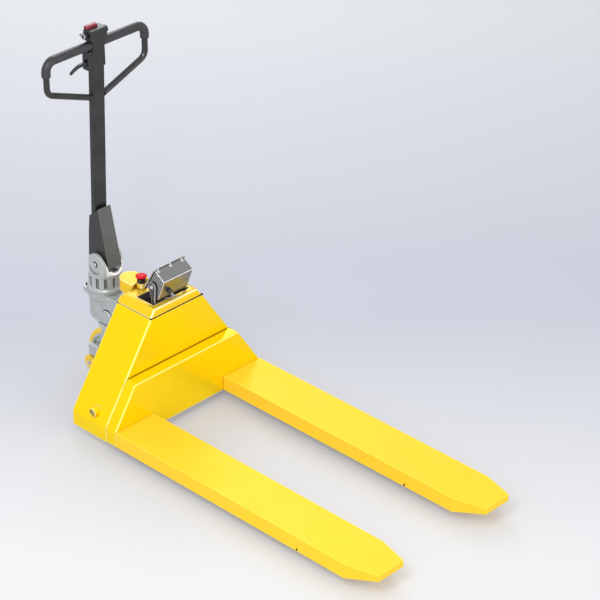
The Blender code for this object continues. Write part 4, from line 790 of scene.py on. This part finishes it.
# The seam runs up the heel box's end, then leans in with the side plate by SEAM_LEAN metres for each metre.
SEAM_X, SEAM_Y = -0.0457, 0.3402
SEAM_BEND_Z, SEAM_TOP_Z = 0.085, 0.2290
SEAM_LEAN = 0.6647
for side, sign in SIDES:
    bead = [at(SEAM_X, sign * SEAM_Y, 0.0330), at(SEAM_X, sign * SEAM_Y, SEAM_BEND_Z)]
    for step in range(1, 13):
        z = SEAM_BEND_Z + (SEAM_TOP_Z - SEAM_BEND_Z) * step / 12
        bead.append(at(SEAM_X, sign * (SEAM_Y - SEAM_LEAN * (z - SEAM_BEND_Z)), z))
    # The bead is painted paler than the plates, as a painted highlight along this corner.
    piece("seam_bead_" + side, swept(bead, 0.0011, 8), BEAD_HIGHLIGHT_YELLOW, "frame", edge=0.0)

# ---------------------------------------------------------------- steering head fittings
PIN_END = (-0.405, 0.0480, 0.457)
FLANGE_BOLT = (-0.4690, 0.0330, 0.348)
KNOB_END = (-0.411, 0.0508, 1.314)
AXLE_END = (-0.387, 0.0420, 0.096)
STABILISER_END = (-0.447, 0.0615, 0.050)
BOSS_FACE = (-0.360, 0.0424, 0.264)
for side, sign in SIDES:
    ear = on_side(PIN_END, sign)
    ring("ear_ring_" + side, ear, (0, sign, 0), 0.0088, 0.0112, 0.0008, "steering", DARK)
    socket_screw("ear_screw_" + side, ear, (0, sign, 0), 0.0080, 0.0040, "steering")
for side, sign in SIDES:
    flange_hole = on_side(FLANGE_BOLT, sign)
    hex_bolt("flange_bolt_" + side, flange_hole, (0, 0, 1), 0.0095, 0.0050, "drive_base", DARK)
for side, sign in SIDES:
    knob = on_side(KNOB_END, sign)
    ring("knob_rim_" + side, knob, (0, sign, 0), 0.0070, 0.0104, 0.0010, "throttle", CHROME)
for side, sign in SIDES:
    hex_bolt("axle_nut_" + side, on_side(AXLE_END, sign), (0, sign, 0), 0.019, 0.008, "steering")
    stabiliser = on_side(STABILISER_END, sign)
    hex_bolt("stabiliser_bolt_" + side, stabiliser, (0, sign, 0), 0.012, 0.005, "steering")

# A dark arc round each side boss of the bearing housing: painted shade of an open groove there.
GROOVE_FROM, GROOVE_SPAN, GROOVE_STEPS = 62, 190, 18
UPRIGHT = Matrix.Rotation(math.pi / 2, 4, "X")
for side, sign in SIDES:
    outer = arc(0.0268, GROOVE_FROM, GROOVE_SPAN, GROOVE_STEPS)
    inner = arc(0.0241, GROOVE_FROM, GROOVE_SPAN, GROOVE_STEPS)
    place = Matrix.Translation(on_side(BOSS_FACE, sign)) @ UPRIGHT
    groove = slab(outer + inner[::-1], -0.0008, 0.0008)
    piece("boss_groove_" + side, groove, DARK, "drive_base", matrix=place, edge=0.0)

# Small dark marks at the ends of the cover's seam: painted shade in the notches there.
NOTCH_HALF_Y = 0.1195
SEAM_NOTCH_SHADES = (
    ("rear_right", -0.2125, -NOTCH_HALF_Y),
    ("rear_left", -0.2125, NOTCH_HALF_Y),
    ("front_left", -0.0480, NOTCH_HALF_Y),
)
for label, x, y in SEAM_NOTCH_SHADES:
    notch = slab(round_rectangle(0.0032, 0.0020, 0.0008, 2, (HEEL_X + x, y)), 0.4140, 0.4172)
    piece("seam_notch_shade_" + label, notch, DARK, "frame", edge=0.0002)

for side, sign in SIDES:
    for label, y, way in (("outer", 0.340, 1), ("inner", 0.165, -1)):
        place = on_side((0.851, y, 0.0375), sign)
        hex_bolt(f"fork_bolt_{label}_{side}", place, (0, sign * way, 0), 0.0060, 0.0018, "frame", DARK, 1.2)

# ---------------------------------------------------------------- floor and light
floor_bm = bmesh.new()
bmesh.ops.create_grid(floor_bm, x_segments=2, y_segments=2, size=14.0)
floor_mesh = bpy.data.meshes.new("floor")
floor_bm.to_mesh(floor_mesh)
floor_bm.free()
floor = added("floor", floor_mesh)
# The floor's grey changes from one side of the object to the other, by where a point is on the floor: a
# painted shade band, darker and bluer across the middle. The floor also gives off some light of its own,
# which keeps the shadows soft.
surface = Surface("studio_floor", (0.545, 0.545, 0.545), 0.6)
across_floor = surface.node("ShaderNodeVectorMath", operation="DOT_PRODUCT")
across_floor.inputs[1].default_value = (-0.70, 0.71, 0.0)
surface.link(surface.place, across_floor.inputs[0])
distance = across_floor.outputs["Value"]
surface.tint(surface.ramp(distance, -0.6, 0.9), (0.385, 0.400, 0.450))
surface.tint(surface.ramp(distance, 1.3, 3.6), (0.49, 0.50, 0.515))
surface.tint(surface.ramp(surface.noise(0.6, 2.0), 0.35, 0.70, 0.0, 0.12), (0.50, 0.50, 0.515))
surface.shader.inputs["Specular IOR Level"].default_value = 0.15
surface.link(surface.colour, surface.shader.inputs["Emission Color"])
surface.shader.inputs["Emission Strength"].default_value = 0.40
floor_mesh.materials.append(surface.done())


def area_light(name, location, target, size, power, colour=(1.0, 1.0, 1.0)):
    """A rectangular lamp turned to a target: size in metres, power in watts."""
    data = bpy.data.lights.new(name, "AREA")
    data.shape = "RECTANGLE"
    data.size, data.size_y = size
    data.energy = power
    data.color = colour
    face_along(added(name, data), location, target)


area_light("key", (2.2, -5.0, 4.2), (0.0, 0.0, 0.3), (4.4, 4.4), 112.0)
area_light("fill", (5.2, 1.4, 2.4), (0.0, 0.0, 0.3), (3.4, 3.4), 56.0, (0.97, 0.98, 1.0))
area_light("rim", (-3.4, 2.4, 3.4), (-0.6, 0.0, 0.6), (2.0, 3.0), 55.0)
area_light("strip", (0.9, -1.9, 3.1), (-0.75, 0.0, 1.1), (0.30, 2.0), 30.0)

world = bpy.data.worlds.new("studio")
bpy.context.scene.world = world
world.use_nodes = True
background = world.node_tree.nodes["Background"]
background.inputs["Color"].default_value = (0.93, 0.94, 0.97, 1.0)
background.inputs["Strength"].default_value = 0.85

bpy.context.scene.view_settings.view_transform = "Standard"
bpy.context.scene.view_settings.look = "None"
